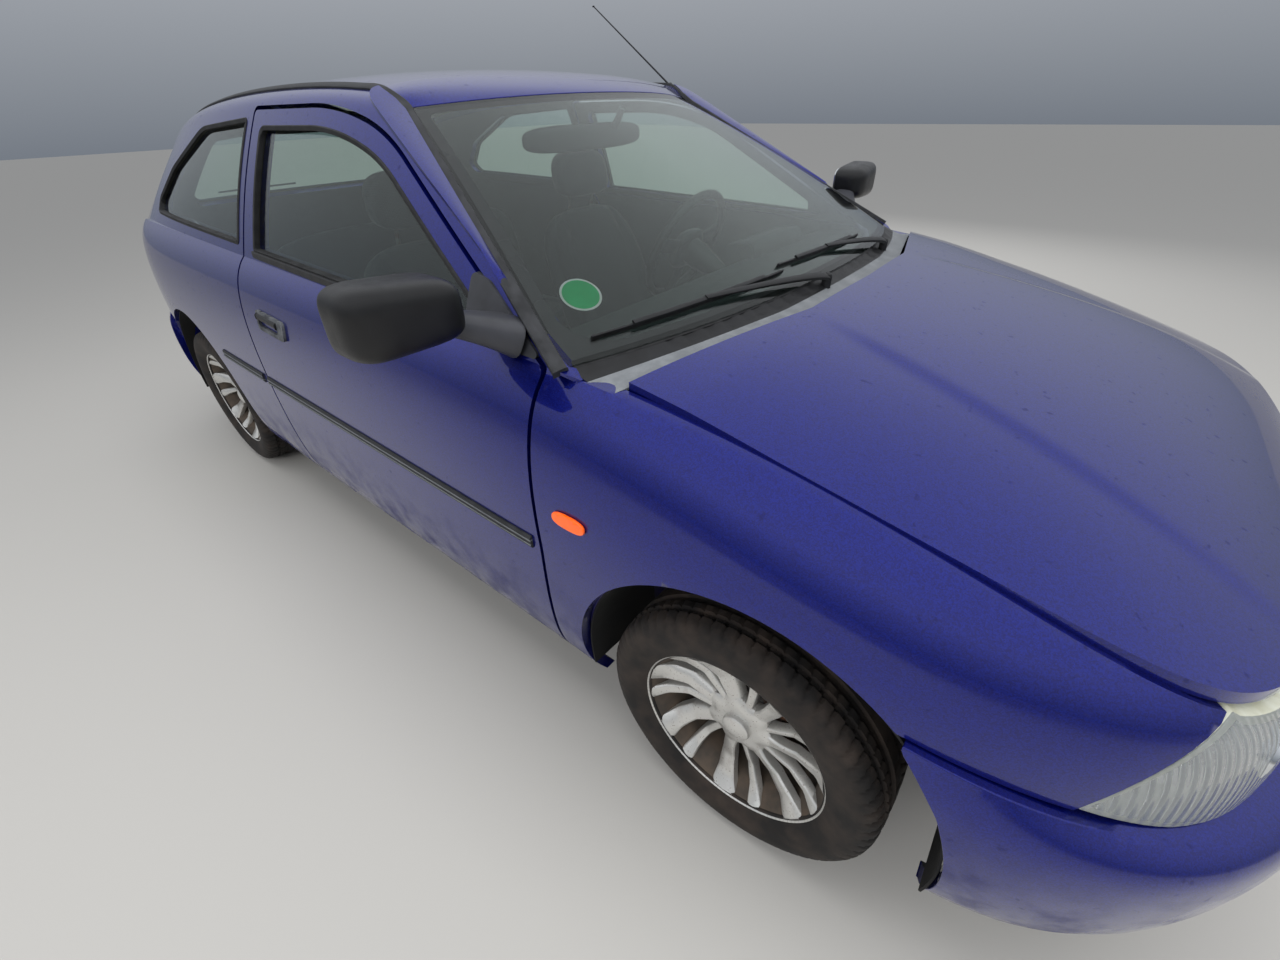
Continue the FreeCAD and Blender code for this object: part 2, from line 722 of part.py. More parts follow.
for name, side in SIDES:
    keep("side_frame_" + name, side_frame(side))
    keep("front_wing_" + name, front_wing(side))
    keep("door_" + name, door(side))
    keep("door_glass_" + name, pane(side, DOOR_WINDOW))
keep("quarter_glasses", both(lambda side: pane(side, QUARTER)))


BONNET_CORNER = 846.0
BONNET_REAR = (957.0, 560.0)


def bonnet():
    """The bonnet, inside the wings and in front of the scuttle."""
    low = between(smooth(bonnet_rows(), *BONNET_GRID), smooth(bonnet_rows(SKIN), *BONNET_GRID))
    edge = ribbon_edge(SHUT)
    rear = [(BONNET_REAR[0], -BONNET_REAR[1] / 2), (BONNET_REAR[0], BONNET_REAR[1] / 2)]
    front = [p for p in edge if p[0] > BONNET_CORNER]
    outline = [(BONNET_CORNER, edge[0][1])] + front + [(BONNET_CORNER, -edge[0][1])]
    return biggest(low.common(plan_prism(outline + rear)))


def roof_edge(inset, x0, x1):
    """The plan outline of the roof's side edges between two x."""
    line = [(x0, half_at(x0) - inset)]
    line += [(s[0], s[5] * WIDE - inset) for s in HOUSE if x0 < s[0] < x1]
    line.append((x1, half_at(x1) - inset))
    return line


def half_at(x):
    """Half the roof's width at some x, between its stations."""
    for a, b in zip(HOUSE, HOUSE[1:]):
        if a[0] <= x <= b[0]:
            return (a[5] + (b[5] - a[5]) * (x - a[0]) / (b[0] - a[0])) * WIDE
    return HOUSE[-1][5] * WIDE


def roof_panel():
    """The roof, from the windscreen's header to the tailgate."""
    shape = between(smooth(roof_rows(), *ROOF_GRID), smooth(roof_rows(SKIN), *ROOF_GRID))
    line = roof_edge(JOINT, TAIL + 500, 330)
    shape = shape.common(plan_prism(line + [(x, -y) for x, y in reversed(line)]))
    shape = shape.cut(above_screen()).cut(screen(SEAT_GAP))
    return biggest(shape.cut(tail_space()))


def tail_space():
    """The space behind the tailgate's front face, with the gap at its upper edge."""
    grid = smooth(tail_rows(GATE + 2 * SHUT), *TAIL_GRID)
    return between(grid, shifted(grid, -900, 0, 0))


@lru_cache
def above_roof():
    """The space over the roof's outer surface."""
    grid = smooth(roof_rows(), *ROOF_GRID)
    return between(shifted(grid, 0, 0, 300), grid)


INTAKE = [(430.0, 262, 30), (380, 398, 30)]
INTAKE_BARS = (296, 330, 364)
INTAKE_BAR = 12.0


def bumper_front():
    """The front bumper with its wide lower intake and its bars."""
    shape = bumper(FRONT_BUMPER, FRONT_SECTION, 1)
    for side in (LEFT, RIGHT):
        shape = shape.cut(wheel_hole(FRONT_AXLE, side, 200))
    region = across_prism(front_bumper_region())
    shape = shape.common(region)
    opening = front_prism(mirror_line(INTAKE), NOSE - 300, NOSE + 50)
    for z in INTAKE_BARS:
        opening = opening.cut(box(NOSE - 300, NOSE + 50, -INTAKE[0][0], INTAKE[0][0], z, z + INTAKE_BAR))
    return biggest(shape.cut(opening))


def bumper_rear():
    """The rear bumper."""
    shape = bumper(REAR_BUMPER, REAR_SECTION, -1)
    for side in (LEFT, RIGHT):
        shape = shape.cut(wheel_hole(REAR_AXLE, side, 200))
    return biggest(shape.common(across_prism(rear_bumper_region())))


def lamp_front(side):
    """A headlamp as a deep unit behind the body's surface."""
    shape = ribbon(side, size("lamp_depth")).common(side_prism(LAMP_SIDE, side, LAMP_INNER, FAR))
    return biggest(shape.cut(under_bonnet(size("bonnet_clear"))))


def lamp_room(side):
    """The room that a headlamp takes, with the gap round it."""
    room = ribbon(side, size("lamp_depth") + JOINT)
    return room.common(side_prism(grown(LAMP_SIDE, JOINT), side, LAMP_INNER - JOINT, FAR))


def lamp_rear(side):
    """A tail lamp at the corner."""
    shape = ribbon(side, size("lamp_depth")).common(side_prism(TAIL_LAMP, side, GATE_HALF + SHUT, FAR))
    return biggest(shape.cut(tail_room(side)))


def tail_room(side):
    """The room that the tailgate takes beside and over a tail lamp."""
    return gate_room().fuse(box(TAIL - 50, TAIL + 400, 0, side * 640, 905, 1200))


GRILLE_SLOTS = (518, 548, 578, 608)
GRILLE_LOW, GRILLE_HIGH = 503.0, 640.0
NOSE_WALL = 40.0


def grille():
    """The slim grille between the headlamps: a frame with level bars."""
    shape = ribbon(LEFT, NOSE_WALL).fuse(ribbon(RIGHT, NOSE_WALL))
    shape = shape.common(box(NOSE - 200, NOSE, -(LAMP_INNER - JOINT), LAMP_INNER - JOINT, GRILLE_LOW, GRILLE_HIGH))
    for low in GRILLE_SLOTS:
        slot = [(390, low, 8), (390, low + 22, 8), (-390, low + 22, 8), (-390, low, 8)]
        shape = shape.cut(front_prism(slot, NOSE - 300, NOSE + 50))
    return biggest(shape)


def nose_panel():
    """The strip between the grille and the bonnet."""
    shape = ribbon(LEFT, NOSE_WALL).fuse(ribbon(RIGHT, NOSE_WALL))
    wide = LAMP_INNER - JOINT
    shape = shape.common(box(NOSE - 200, NOSE, -wide, wide, GRILLE_HIGH + JOINT, 720))
    return biggest(shape.cut(under_bonnet(size("bonnet_clear"))))


PLATE_FACE, PLATE_Z, PLATE_SCREW = 70.0, 751.0, 2.5


def tailgate():
    """The tailgate with its window opening and the recess for the plate."""
    shape = between(smooth(tail_rows(), *TAIL_GRID), smooth(tail_rows(GATE), *TAIL_GRID))
    shape = shape.common(front_prism(mirror_line(GATE_LINE), TAIL - 100, TAIL + 900))
    shape = shape.cut(front_prism(mirror_line(GATE_WINDOW), TAIL - 100, TAIL + 900))
    plate = front_prism(mirror_line([(270, 690, 12), (270, 812, 12)]), TAIL - 100, TAIL + PLATE_FACE)
    for side in (LEFT, RIGHT):
        y = side * size("plate_screws") / 2
        plate = plate.fuse(rod((TAIL, y, PLATE_Z), (TAIL + PLATE_FACE + 20, y, PLATE_Z), PLATE_SCREW))
    return biggest(shape.cut(plate).cut(above_roof()))


def gate_pane():
    """The tailgate's glass."""
    depth = size("glass_set")
    shape = between(smooth(tail_rows(depth), *TAIL_GRID), smooth(tail_rows(depth + GLASS), *TAIL_GRID))
    return biggest(shape.common(front_prism(grown(mirror_line(GATE_WINDOW), -SEAT_GAP), TAIL - 100, TAIL + 900)))


keep("bonnet", bonnet())
keep("roof_panel", roof_panel())
keep("windscreen", screen())
keep("front_bumper", bumper_front())
keep("rear_bumper", bumper_rear())
keep("headlamps", both(lamp_front))
keep("tail_lamps", both(lamp_rear))
keep("grille", grille())
keep("nose_panel", nose_panel())
keep("tailgate", tailgate())
keep("tailgate_glass", gate_pane())

# Structure under the skin


def wheel_housing(x, side, near, wall, low):
    """A wheel's housing: an arched sheet with its inner wall, open below a height."""
    centre = Vector(x + 12, side * near, AXLE_Z + size("arch_raise"))
    out = size("arch_radius") + HOUSING_OVER
    length = HALF_WIDTH - size("wing_thick") - near - JOINT
    drum = Part.makeCylinder(out, length, centre, Vector(0, side, 0))
    inner = Part.makeCylinder(out - wall, length, centre + Vector(0, side * wall, 0), Vector(0, side, 0))
    return drum.cut(inner).cut(box(-FAR, FAR, 0, side * FAR, -FAR, low))


REAR_WELL_Y = 585.0
BOOT_Z = 400.0
BOOT_FRONT = -860.0
BOOT_REAR = TAIL + 110
FLOOR_FRONT = 742.0
FLOOR_HALF = 704.0
TUNNEL_HALF = 110.0
TUNNEL_TOP = 380.0
TUNNEL_WALL = 18.0
BULKHEAD_TOP = 862.0
JACK_X = (560.0, -760.0)
JACK_Y = 684.0
BACK_PANEL_TOP = 560.0
LOCK_HALF, LOCK_TOP = 28.0, 622 - SEAT_GAP
WELL_X, WELL_RADIUS, WELL_DEEP, WELL_WALL = -1570.0, 270.0, 130.0, 17.0


def under_tunnel(x0, x1):
    """The space under the floor's tunnel between two x."""
    wide = TUNNEL_HALF - TUNNEL_WALL
    return box(x0, x1, -wide, wide, 0, TUNNEL_TOP - TUNNEL_WALL)


slabs = {side: ribbon(side, SIDE + SEAT_GAP) for side in (LEFT, RIGHT)}


def floor_pan():
    """The floor with its tunnel, the raised boot floor, the spare wheel's well, rear housings and jacking pads."""
    wall = size("floor_thick")
    parts = [
        box(BOOT_FRONT, FLOOR_FRONT, -FLOOR_HALF, FLOOR_HALF, FLOOR, FLOOR_TOP),
        box(BOOT_FRONT, FLOOR_FRONT, -TUNNEL_HALF, TUNNEL_HALF, FLOOR_TOP, TUNNEL_TOP),
        box(BOOT_FRONT - wall, BOOT_FRONT, -FLOOR_HALF, FLOOR_HALF, FLOOR, BOOT_Z),
        box(BOOT_REAR, BOOT_FRONT, -REAR_WELL_Y, REAR_WELL_Y, BOOT_Z - wall, BOOT_Z),
        box(BOOT_REAR, BOOT_REAR + 18, -REAR_WELL_Y, REAR_WELL_Y, BOOT_Z - wall, BACK_PANEL_TOP),
        box(BOOT_REAR, BOOT_REAR + 18, -LOCK_HALF, LOCK_HALF, BACK_PANEL_TOP - 10, LOCK_TOP),
        box(TAIL + 78, BOOT_REAR + 18, -LOCK_HALF, LOCK_HALF, LOCK_TOP - 7, LOCK_TOP),
        Part.makeCylinder(WELL_RADIUS, WELL_DEEP, Vector(WELL_X, 0, BOOT_Z - WELL_DEEP)),
    ]
    parts += [wheel_housing(REAR_AXLE, side, REAR_WELL_Y, HOUSING_WALL, BOOT_Z - wall) for side in (LEFT, RIGHT)]
    for x in JACK_X:
        parts += [box(x - 40, x + 40, s * (JACK_Y - 20), s * (JACK_Y + 20), FLOOR - 20, FLOOR) for s in (LEFT, RIGHT)]
    shape = fused(parts)
    tunnel = under_tunnel(BOOT_FRONT - 60, FLOOR_FRONT + 1)
    hollow = Part.makeCylinder(WELL_RADIUS - WELL_WALL, WELL_DEEP, Vector(WELL_X, 0, BOOT_Z - WELL_DEEP + WELL_WALL))
    shape = shape.cut(tunnel).cut(hollow)
    for side in (LEFT, RIGHT):
        shape = shape.cut(slabs[side].common(half(side, TAIL + 300)))
    return biggest(shape)


@lru_cache
def flank(side):
    """The room that the body side takes, and the thinner wing in front of its hinge post."""
    post = WING_REAR + HINGE_POST + JOINT
    wing = ribbon(side, size("wing_thick") + JOINT).common(half(side, post))
    return wing.fuse(slabs[side].common(half(side, -FAR, post)))


RAIL_Z = 330.0
TOWER_TOP = 830.0
TOWER_WALL = 16.0
TOWER_Y = KING_Y - KING_TAN * (TOWER_TOP - 70 - AXLE_Z)


def engine_bay():
    """The bulkhead, inner wings with their strut towers and housings, and the front crossmembers."""
    front = NOSE - 190
    parts = [box(FLOOR_FRONT + JOINT, FLOOR_FRONT + 22, -760, 760, FLOOR, BULKHEAD_TOP)]
    mount = size("engine_wide") / 2 + SEAT_GAP
    for side in (LEFT, RIGHT):
        wall = box(FLOOR_FRONT + 10, front, side * BAY, side * (BAY + HOUSING_WALL), 430, 760)
        tower = Part.makeCylinder(92, 150, Vector(FRONT_AXLE, side * TOWER_Y, TOWER_TOP - 150))
        hollow = Part.makeCylinder(78, 150, Vector(FRONT_AXLE, side * TOWER_Y, TOWER_TOP - TOWER_WALL - 150))
        opening = Part.makeCylinder(22, 60, Vector(FRONT_AXLE, side * TOWER_Y, TOWER_TOP - 30))
        housing = wheel_housing(FRONT_AXLE, side, BAY, HOUSING_WALL, FLOOR_TOP)
        mouth = Part.makeCylinder(78, 300, Vector(FRONT_AXLE, side * TOWER_Y, 500))
        parts.append(housing.cut(mouth).fuse(wall).fuse(tower.cut(hollow).cut(opening)))
        parts.append(box(FLOOR_FRONT + 10, front, side * mount, side * (BAY + HOUSING_WALL), RAIL_Z, 430))
    parts.append(box(front - 30, front, -620, 620, 400, 620))
    shape = fused(parts)
    shape = shape.cut(box(front - 40, front + 10, -330, 330, 430, 590))
    shape = shape.cut(under_tunnel(FLOOR_FRONT, FLOOR_FRONT + 30))
    for side in (LEFT, RIGHT):
        shape = shape.cut(flank(side)).cut(lamp_room(side))
    shape = shape.cut(under_bonnet(size("bonnet_clear")))
    for side in (LEFT, RIGHT):
        buffer = rod((1500, side * (BAY + 7), 600), (1500, side * (BAY + 7), 900), 9)
        shape = shape.fuse(buffer.cut(under_bonnet(SEAT_GAP)))
    return biggest(shape.removeSplitter())


# Each wiper: the y of its pivot and of its blade's tip
WIPERS = ((-80, -610), (365, -170))
WIPER_OVER = 13.0


def scuttle():
    """The panel between the bonnet and the windscreen's foot."""
    foot = smooth(screen_rows(), *SCREEN_GRID)[0]
    rows = []
    for front in (0, 1):
        line = []
        for p in foot:
            if front:
                reach = max(0.0, abs(p.y) - BONNET_REAR[1] / 2) / (750 - BONNET_REAR[1] / 2)
                x = BONNET_REAR[0] + (BONNET_CORNER - BONNET_REAR[0]) * reach - SHUT
                line.append(Vector(max(x, p.x + 40), p.y * 0.97, p.z - 26))
            else:
                line.append(Vector(p.x - 3, p.y * 0.97, p.z))
        rows.append(line)
    shape = between(rows, shifted(rows, 0, 0, -14)).cut(screen(SEAT_GAP))
    for pivot_y, tip_y in WIPERS:
        shape = shape.cut(wiper_pivot(pivot_y, SEAT_GAP))
    for side in (LEFT, RIGHT):
        shape = shape.cut(flank(side))
    return biggest(shape)


# The dashboard's side view behind its front face, the instruments' hood and the middle console
DASH = [(640, 892, 60), (520, 880, 60), (470, 800, 40), (500, 700, 50), (600, 620, 30)]
HOOD = [(560, 870), (556, 930, 30), (452, 912, 20), (470, 800)]
CONSOLE = [(520, 760), (452, 770, 20), (470, 560, 30), (600, 400, 20), (700, 400), (700, 700)]
DASH_HALF, HOOD_HALF, CONSOLE_HALF = 690.0, 160.0, 130.0
# The steering wheel's middle, and its column down into the dashboard
STEER_AT = (200.0, size("seat_offset"), 850.0)
COLUMN_LONG = 430.0
COLUMN_RADIUS = 24.0


def dashboard():
    """The dashboard across the cabin, with the hood over the instruments."""
    front = FLOOR_FRONT + JOINT - SEAT_GAP
    shape = across_prism([(front, 600), (front, 856)] + DASH, DASH_HALF)
    hood = side_prism(HOOD, LEFT, size("seat_offset") - HOOD_HALF, size("seat_offset") + HOOD_HALF)
    centre = across_prism(CONSOLE, CONSOLE_HALF)
    column = rod(STEER_AT, column_point(COLUMN_LONG + 5), COLUMN_RADIUS + SEAT_GAP)
    return biggest(fused([shape, hood, centre]).cut(column))


def column_point(down):
    """A point of the steering column's axis, some way down from the wheel."""
    lean = math.radians(size("column_lean"))
    return (STEER_AT[0] + down * math.cos(lean), STEER_AT[1], STEER_AT[2] - down * math.sin(lean))


# A front seat from the side: cushion, back and headrest, x from the seat's hip point at the floor
SEAT_CUSHION = [(-70, 120, 30), (420, 150, 30), (445, 235, 30), (300, 262, 60), (-40, 225, 30), (-90, 180, 20)]
SEAT_BACK = [(-60, 150, 30), (40, 240, 30), (-95, 700, 30), (-185, 690, 30), (-130, 220, 40)]
SEAT_HEAD = [(-100, 740, 25), (-95, 880, 30), (-190, 890, 30), (-190, 735, 25)]
SEAT_X = -150.0
HEADREST_HALF = 130.0


def front_seat(side):
    """One front seat on its rails."""
    wide = size("seat_width") / 2
    middle = side * size("seat_offset")

    def pad(points, half_width):
        placed = [(p[0] + SEAT_X, p[1] + FLOOR_TOP) + tuple(p[2:]) for p in points]
        face = outline_face(placed, lambda x, z: Vector(x, middle - half_width, z))
        return face.extrude(Vector(0, 2 * half_width, 0))

    parts = [pad(SEAT_CUSHION, wide), pad(SEAT_BACK, wide - 15), pad(SEAT_HEAD, HEADREST_HALF)]
    for offset in (-60, 60):
        y = middle + offset
        low = (SEAT_X - 140, y, FLOOR_TOP + 660)
        parts.append(rod(low, (SEAT_X - 145, y, FLOOR_TOP + 780), 7))
    for offset in (-180, 180):
        y = middle + offset
        parts.append(box(SEAT_X - 40, SEAT_X + 380, y - 20, y + 20, FLOOR_TOP + SEAT_GAP, FLOOR_TOP + 150))
    return fused(parts)


def rear_seat():
    """The rear bench, between the housings, on the floor and its step."""
    low, high, step = FLOOR_TOP + SEAT_GAP, BOOT_Z + SEAT_GAP, BOOT_FRONT + SEAT_GAP
    cushion = [(step, low), (-520, low, 20), (-470, 470, 60), (-930, 440, 30), (-960, high), (step, high)]
    back = [(-930, high), (-900, 470, 20), (-1010, 900, 30), (-1090, 900, 30), (-1060, high)]
    shape = fused([across_prism(cushion, REAR_WELL_Y - 5), across_prism(back, REAR_WELL_Y - 5)])
    wide = TUNNEL_HALF + SEAT_GAP
    return biggest(shape.cut(box(-FAR, FAR, -wide, wide, 0, TUNNEL_TOP + SEAT_GAP)))


DISC_Y = -25.0
SPINDLE_END = 46.0
DAMPER_UP = 316.0
BALL_RADIUS = 20.0


def knuckle(side):
    """A front knuckle: upright, spindle, damper tube, lower leg, steering arm and brake caliper."""
    def at(y, x=0.0, z=0.0):
        return (FRONT_AXLE + x, side * y, AXLE_Z + z)
    base = KING_Y - 12
    disc = HALF_TRACK + DISC_Y
    low = ARM_Z[1] + SEAT_GAP + BALL_RADIUS * math.sin(math.radians(size("king_lean"))) - AXLE_Z
    parts = [
        rod(at(base), at(disc - 10), 40),
        rod(at(disc - 12), at(HALF_TRACK + SPINDLE_END), STUB),
        rod(at(KING_Y + 72 * KING_TAN, 0, -72), at(base + 10, 0, -10), 24),
        rod(at(KING_Y + KING_TAN * -low, 0, low), at(KING_Y + KING_TAN * 60, 0, -60), BALL_RADIUS),
        rod(at(KING_Y - KING_TAN * 20, 0, 20), at(KING_Y - KING_TAN * DAMPER_UP, 0, DAMPER_UP), 25),
        rod(at(base + 6), at(base - 14, -120, -10), 12),
    ]
    radius = size("disc_radius")
    block = box(FRONT_AXLE + 62, FRONT_AXLE + radius + 16, side * (disc - 30), side * (disc + 30),
                AXLE_Z - 50, AXLE_Z + 50)
    thick = size("disc_thick")
    near, far = side * (disc - 4), side * (disc + thick + 4)
    slot = box(FRONT_AXLE, FRONT_AXLE + radius + 5, near, far, AXLE_Z - 80, AXLE_Z + 80)
    hub = rod(at(disc + 2), at(disc + 202), size("hub_radius") + 14)
    parts.append(block.cut(slot).cut(hub))
    parts.append(rod(at(base + 10), at(disc - 28, 70), 18))
    return biggest(fused(parts))


ARM_Z = (174.0, 190.0)
SPRING_RADIUS = 52.0


def king_point(side, z):
    """The point of a front wheel's steering axis at a height."""
    return (FRONT_AXLE, side * (KING_Y - KING_TAN * (z - AXLE_Z)), z)


def front_suspension():
    """The front subframe with the lower arms, and the springs with their rods."""
    low, high = ARM_Z
    arms = [box(FRONT_AXLE - 150, FRONT_AXLE - 50, -430, 430, low, FLOOR + 20)]
    springs = []
    for side in (LEFT, RIGHT):
        ball = KING_Y + KING_TAN * (AXLE_Z - high)
        arms.append(plan_prism([
            (FRONT_AXLE - 140, side * 300),
            (FRONT_AXLE - 60, side * 300),
            (FRONT_AXLE + 20, side * (ball - 50)),
            (FRONT_AXLE + 20, side * (ball + 20), 18),
            (FRONT_AXLE - 20, side * (ball + 20), 18),
            (FRONT_AXLE - 40, side * (ball - 60)),
        ], low, high))
        arms.append(box(FRONT_AXLE - 130, FRONT_AXLE - 70, side * 395, side * 430, FLOOR, RAIL_Z - SEAT_GAP))
        foot = AXLE_Z + DAMPER_UP + SEAT_GAP
        tilt = SPRING_RADIUS * math.sin(math.radians(size("king_lean")))
        top = TOWER_TOP - TOWER_WALL - SEAT_GAP - tilt
        piston = rod(king_point(side, foot), king_point(side, top + 12), 11)
        springs.append(piston.fuse(rod(king_point(side, foot + 40), king_point(side, top), SPRING_RADIUS)))
    return Part.Compound([fused(arms)] + springs)


ARM_LONG = 330.0


def rear_axle():
    """The twist beam with trailing arms, spindles and dampers."""
    z = AXLE_Z
    parts = [box(REAR_AXLE + 110, REAR_AXLE + 190, -545, 545, z - 30, z + 30)]
    for side in (LEFT, RIGHT):
        inner = HALF_TRACK + DISC_Y
        parts.append(side_prism([
            (REAR_AXLE - 60, z - 36, 20),
            (REAR_AXLE - 60, z + 36, 20),
            (REAR_AXLE + ARM_LONG, z + 20, 20),
            (REAR_AXLE + ARM_LONG, z - 20, 20),
        ], side, 525, 570))
        parts.append(rod((REAR_AXLE, side * 560, z), (REAR_AXLE, side * (inner - 6), z), 42))
        parts.append(rod((REAR_AXLE, side * (inner - 8), z), (REAR_AXLE, side * (HALF_TRACK + SPINDLE_END), z), STUB))
        parts.append(rod((REAR_AXLE + ARM_LONG, side * 490, z), (REAR_AXLE + ARM_LONG, side * 600, z), 22))
        under = BOOT_Z - size("floor_thick") - SEAT_GAP
        parts.append(rod((REAR_AXLE + 150, side * 480, z), (REAR_AXLE + 150, side * 480, under), 45))
    return fused(parts)


SILENCER_Z = 228.0
TAIL_PIPE_Z = 206.0
HANGER_RADIUS = 6.0


def exhaust():
    """The exhaust from the tunnel to the rear silencer and its tail pipe."""
    radius = size("pipe_radius")
    z = FLOOR + 30
    route = [
        (FLOOR_FRONT + 150, 0, z),
        (FLOOR_FRONT - 60, 0, z),
        (BOOT_FRONT + 60, 0, z),
        (BOOT_FRONT - 40, 0, z - 20),
        (BOOT_FRONT - 190, -140, FLOOR - 15),
        (REAR_AXLE - 80, -250, FLOOR - 15),
        (REAR_AXLE - 230, -355, SILENCER_Z),
    ]
    parts = [rod(a, b, radius) for a, b in zip(route, route[1:])]
    parts += [Part.makeSphere(radius, Vector(*p)) for p in route[1:-1]]
    parts.append(rod((REAR_AXLE - 200, -362, SILENCER_Z), (TAIL + 150, -432, SILENCER_Z), 72))
    parts.append(rod((TAIL + 160, -432, TAIL_PIPE_Z), (TAIL + 45, -440, TAIL_PIPE_Z), radius))
    parts.append(rod((0, 0, z), (0, 0, TUNNEL_TOP - TUNNEL_WALL - SEAT_GAP), HANGER_RADIUS))
    under = BOOT_Z - size("floor_thick") - SEAT_GAP
    parts.append(rod((TAIL + 300, -395, SILENCER_Z), (TAIL + 300, -395, under), HANGER_RADIUS))
    return fused(parts)


def pod(centre, halves, flat, push, grid=8):
    """A rounded housing: an oval plan whose front bulges along one way and whose back is nearly flat."""
    def point(a, b, reach):
        y = a * math.sqrt(1 - b * b / 2)
        z = b * math.sqrt(1 - a * a / 2)
        swell = math.sqrt(max(0.0, 1 - (y * y + z * z) * 0.92))
        out = flat + (reach - flat) * swell
        wide, tall = halves
        if push == "x":
            return Vector(centre[0] + out, centre[1] + y * wide, centre[2] + z * tall)
        return Vector(centre[0] + y * wide, centre[1] + out * (1 if centre[1] > 0 else -1), centre[2] + z * tall)
    steps = [-1 + 2 * i / grid for i in range(grid + 1)]
    return lambda reach, back: between(
        [[point(a, b, reach) for b in steps] for a in steps],
        [[point(a, b, 0) - (point(a, b, flat) - point(a, b, 0)) * back for b in steps] for a in steps])


MIRROR_X, MIRROR_Y, MIRROR_Z = 535.0, 930.0, 1008.0
MIRROR_FOOT = [(742, 922), (742, 985), (850, 1004), (850, 966)]


def mirror_pod(side):
    """A door mirror: its housing and the foot on the door's front corner."""
    housing = pod((MIRROR_X, side * MIRROR_Y, MIRROR_Z), (108, 62), 30, "x")(92, 0.3)
    foot = front_prism([(side * y, z) for y, z in MIRROR_FOOT], MIRROR_X - 4, MIRROR_X + 62)
    corner = side_prism([(500, 932), (640, 932), (500, 1012)], side, 700, 800)
    sail = corner.common(house(side, -SEAT_GAP - 4, -SEAT_GAP))
    shape = housing.fuse(foot).cut(house(side, -SEAT_GAP, 60))
    return biggest(shape.fuse(sail).removeSplitter())


skin_cut = {
    side: between(
        smooth(ribbon_rows(side, -SEAT_GAP), *RIBBON_GRID),
        smooth(ribbon_rows(side, 140), *RIBBON_GRID))
    for side in (LEFT, RIGHT)
}


HANDLE = [(-438, 824, 12), (-264, 816, 12), (-270, 764, 12), (-430, 770, 12)]
HANDLE_OUT = 10.0


def handle(side):
    """A door handle on the skin, with its grip."""
    return biggest(side_prism(HANDLE, side, 740, HALF_WIDTH + HANDLE_OUT).cut(skin_cut[side]))


def repeater(side):
    """A side lamp on the wing."""
    shape = side_prism([(760, 681, 9), (842, 681, 9), (842, 662, 9), (760, 662, 9)], side, 740, HALF_WIDTH + 7)
    return biggest(shape.cut(skin_cut[side]))


def wipers():
    """Both wiper arms with their blades, parked on the windscreen's foot."""
    arms = []
    layer = between(smooth(screen_rows(-WIPER_OVER), *SCREEN_GRID), smooth(screen_rows(-SEAT_GAP), *SCREEN_GRID))
    for pivot_y, tip_y in WIPERS:
        lift = Vector(0, 0, WIPER_OVER)
        foot = screen_point(pivot_y, -0.03) + lift
        a, b = [screen_point(pivot_y + (tip_y - pivot_y) * share, 0.075) for share in (0.2, 1.0)]
        width = Vector(b.y - a.y, a.x - b.x, 0).normalize() * 5
        strip = plan_prism([(p.x, p.y) for p in (a + width, b + width, b - width, a - width)], 800, 1100)
        shape = layer.common(strip).fuse(rod(foot, (a + b) * 0.5 + lift, 5))
        arms.append(biggest(shape.fuse(wiper_pivot(pivot_y)).cut(screen(SEAT_GAP))))
    return Part.Compound(arms)


def wiper_pivot(pivot_y, grow=0.0):
    """A wiper's spindle through the scuttle."""
    foot = screen_point(pivot_y, -0.03) + Vector(0, 0, WIPER_OVER)
    return rod(foot - Vector(0, 0, 34 + grow), foot + Vector(0, 0, 8), 14 + grow)


def screen_point(y, share):
    """A point of the windscreen's outer surface at some y, a share of the way up."""
    grid = smooth(screen_rows(), 1, 20)
    foot, head = grid[0], grid[-1]
    best = min(range(len(foot)), key=lambda j: abs(foot[j].y - y))
    return foot[best] + (head[best] - foot[best]) * share


def rear_wiper():
    """The rear wiper at the foot of the tailgate's glass."""
    base = Vector(TAIL + 84, 0, 925)
    parts = [rod(base - Vector(-4, 0, 0), base - Vector(26, 0, -8), 20),
             rod(base - Vector(18, 0, -10), Vector(TAIL + 74, -330, 985), 7),
             rod(Vector(TAIL + 70, -60, 985), Vector(TAIL + 108, -400, 985), 7)]
    room = between(smooth(tail_rows(-SEAT_GAP), *TAIL_GRID), smooth(tail_rows(200), *TAIL_GRID))
    return biggest(fused(parts).cut(room))


def aerial():
    """The rod aerial, leaning back from the roof's left front corner."""
    base = Vector(-9, 548 * WIDE, 1312 + RISE)
    lean = Vector(-0.82, 0, 0.573)
    tip = base + lean * size("aerial_length")
    foot = Part.makeCylinder(13, 26, base - Vector(0, 0, 14))
    shape = foot.fuse(rod(base, tip, size("aerial_radius"))).removeSplitter()
    return biggest(shape.cut(house(LEFT, -SEAT_GAP, 80)).cut(roof_cut()))


def roof_cut():
    """The roof and what lies under it, with the rest gap."""
    return between(smooth(roof_rows(-SEAT_GAP), *ROOF_GRID), smooth(roof_rows(120), *ROOF_GRID))


keep("floor_pan", floor_pan())
keep("engine_bay", engine_bay())
keep("scuttle", scuttle())
keep("dashboard", dashboard())
keep("front_seats", both(front_seat))
keep("rear_seat", rear_seat())
keep("front_suspension", front_suspension())
keep("rear_axle", rear_axle())
keep("exhaust", exhaust())
for name, side in SIDES:
    keep("knuckle_" + name, knuckle(side))
    keep("mirror_" + name, mirror_pod(side))
    keep("handle_" + name, handle(side))
keep("side_repeaters", both(repeater))
keep("wipers", wipers())
keep("rear_wiper", rear_wiper())
keep("aerial", aerial())

# Bound to the sheet: the engine block


def bound_box(label, sizes, place):
    """A box of the document whose sizes are cells of the sheet."""
    obj = doc.addObject("Part::Box", label)
    obj.Label = label
    for name, alias in zip(("Length", "Width", "Height"), sizes):
        obj.setExpression(name, "Sizes." + alias)
    obj.Placement = Placement(Vector(*place), Rotation())
    pieces.append(obj)
    return obj


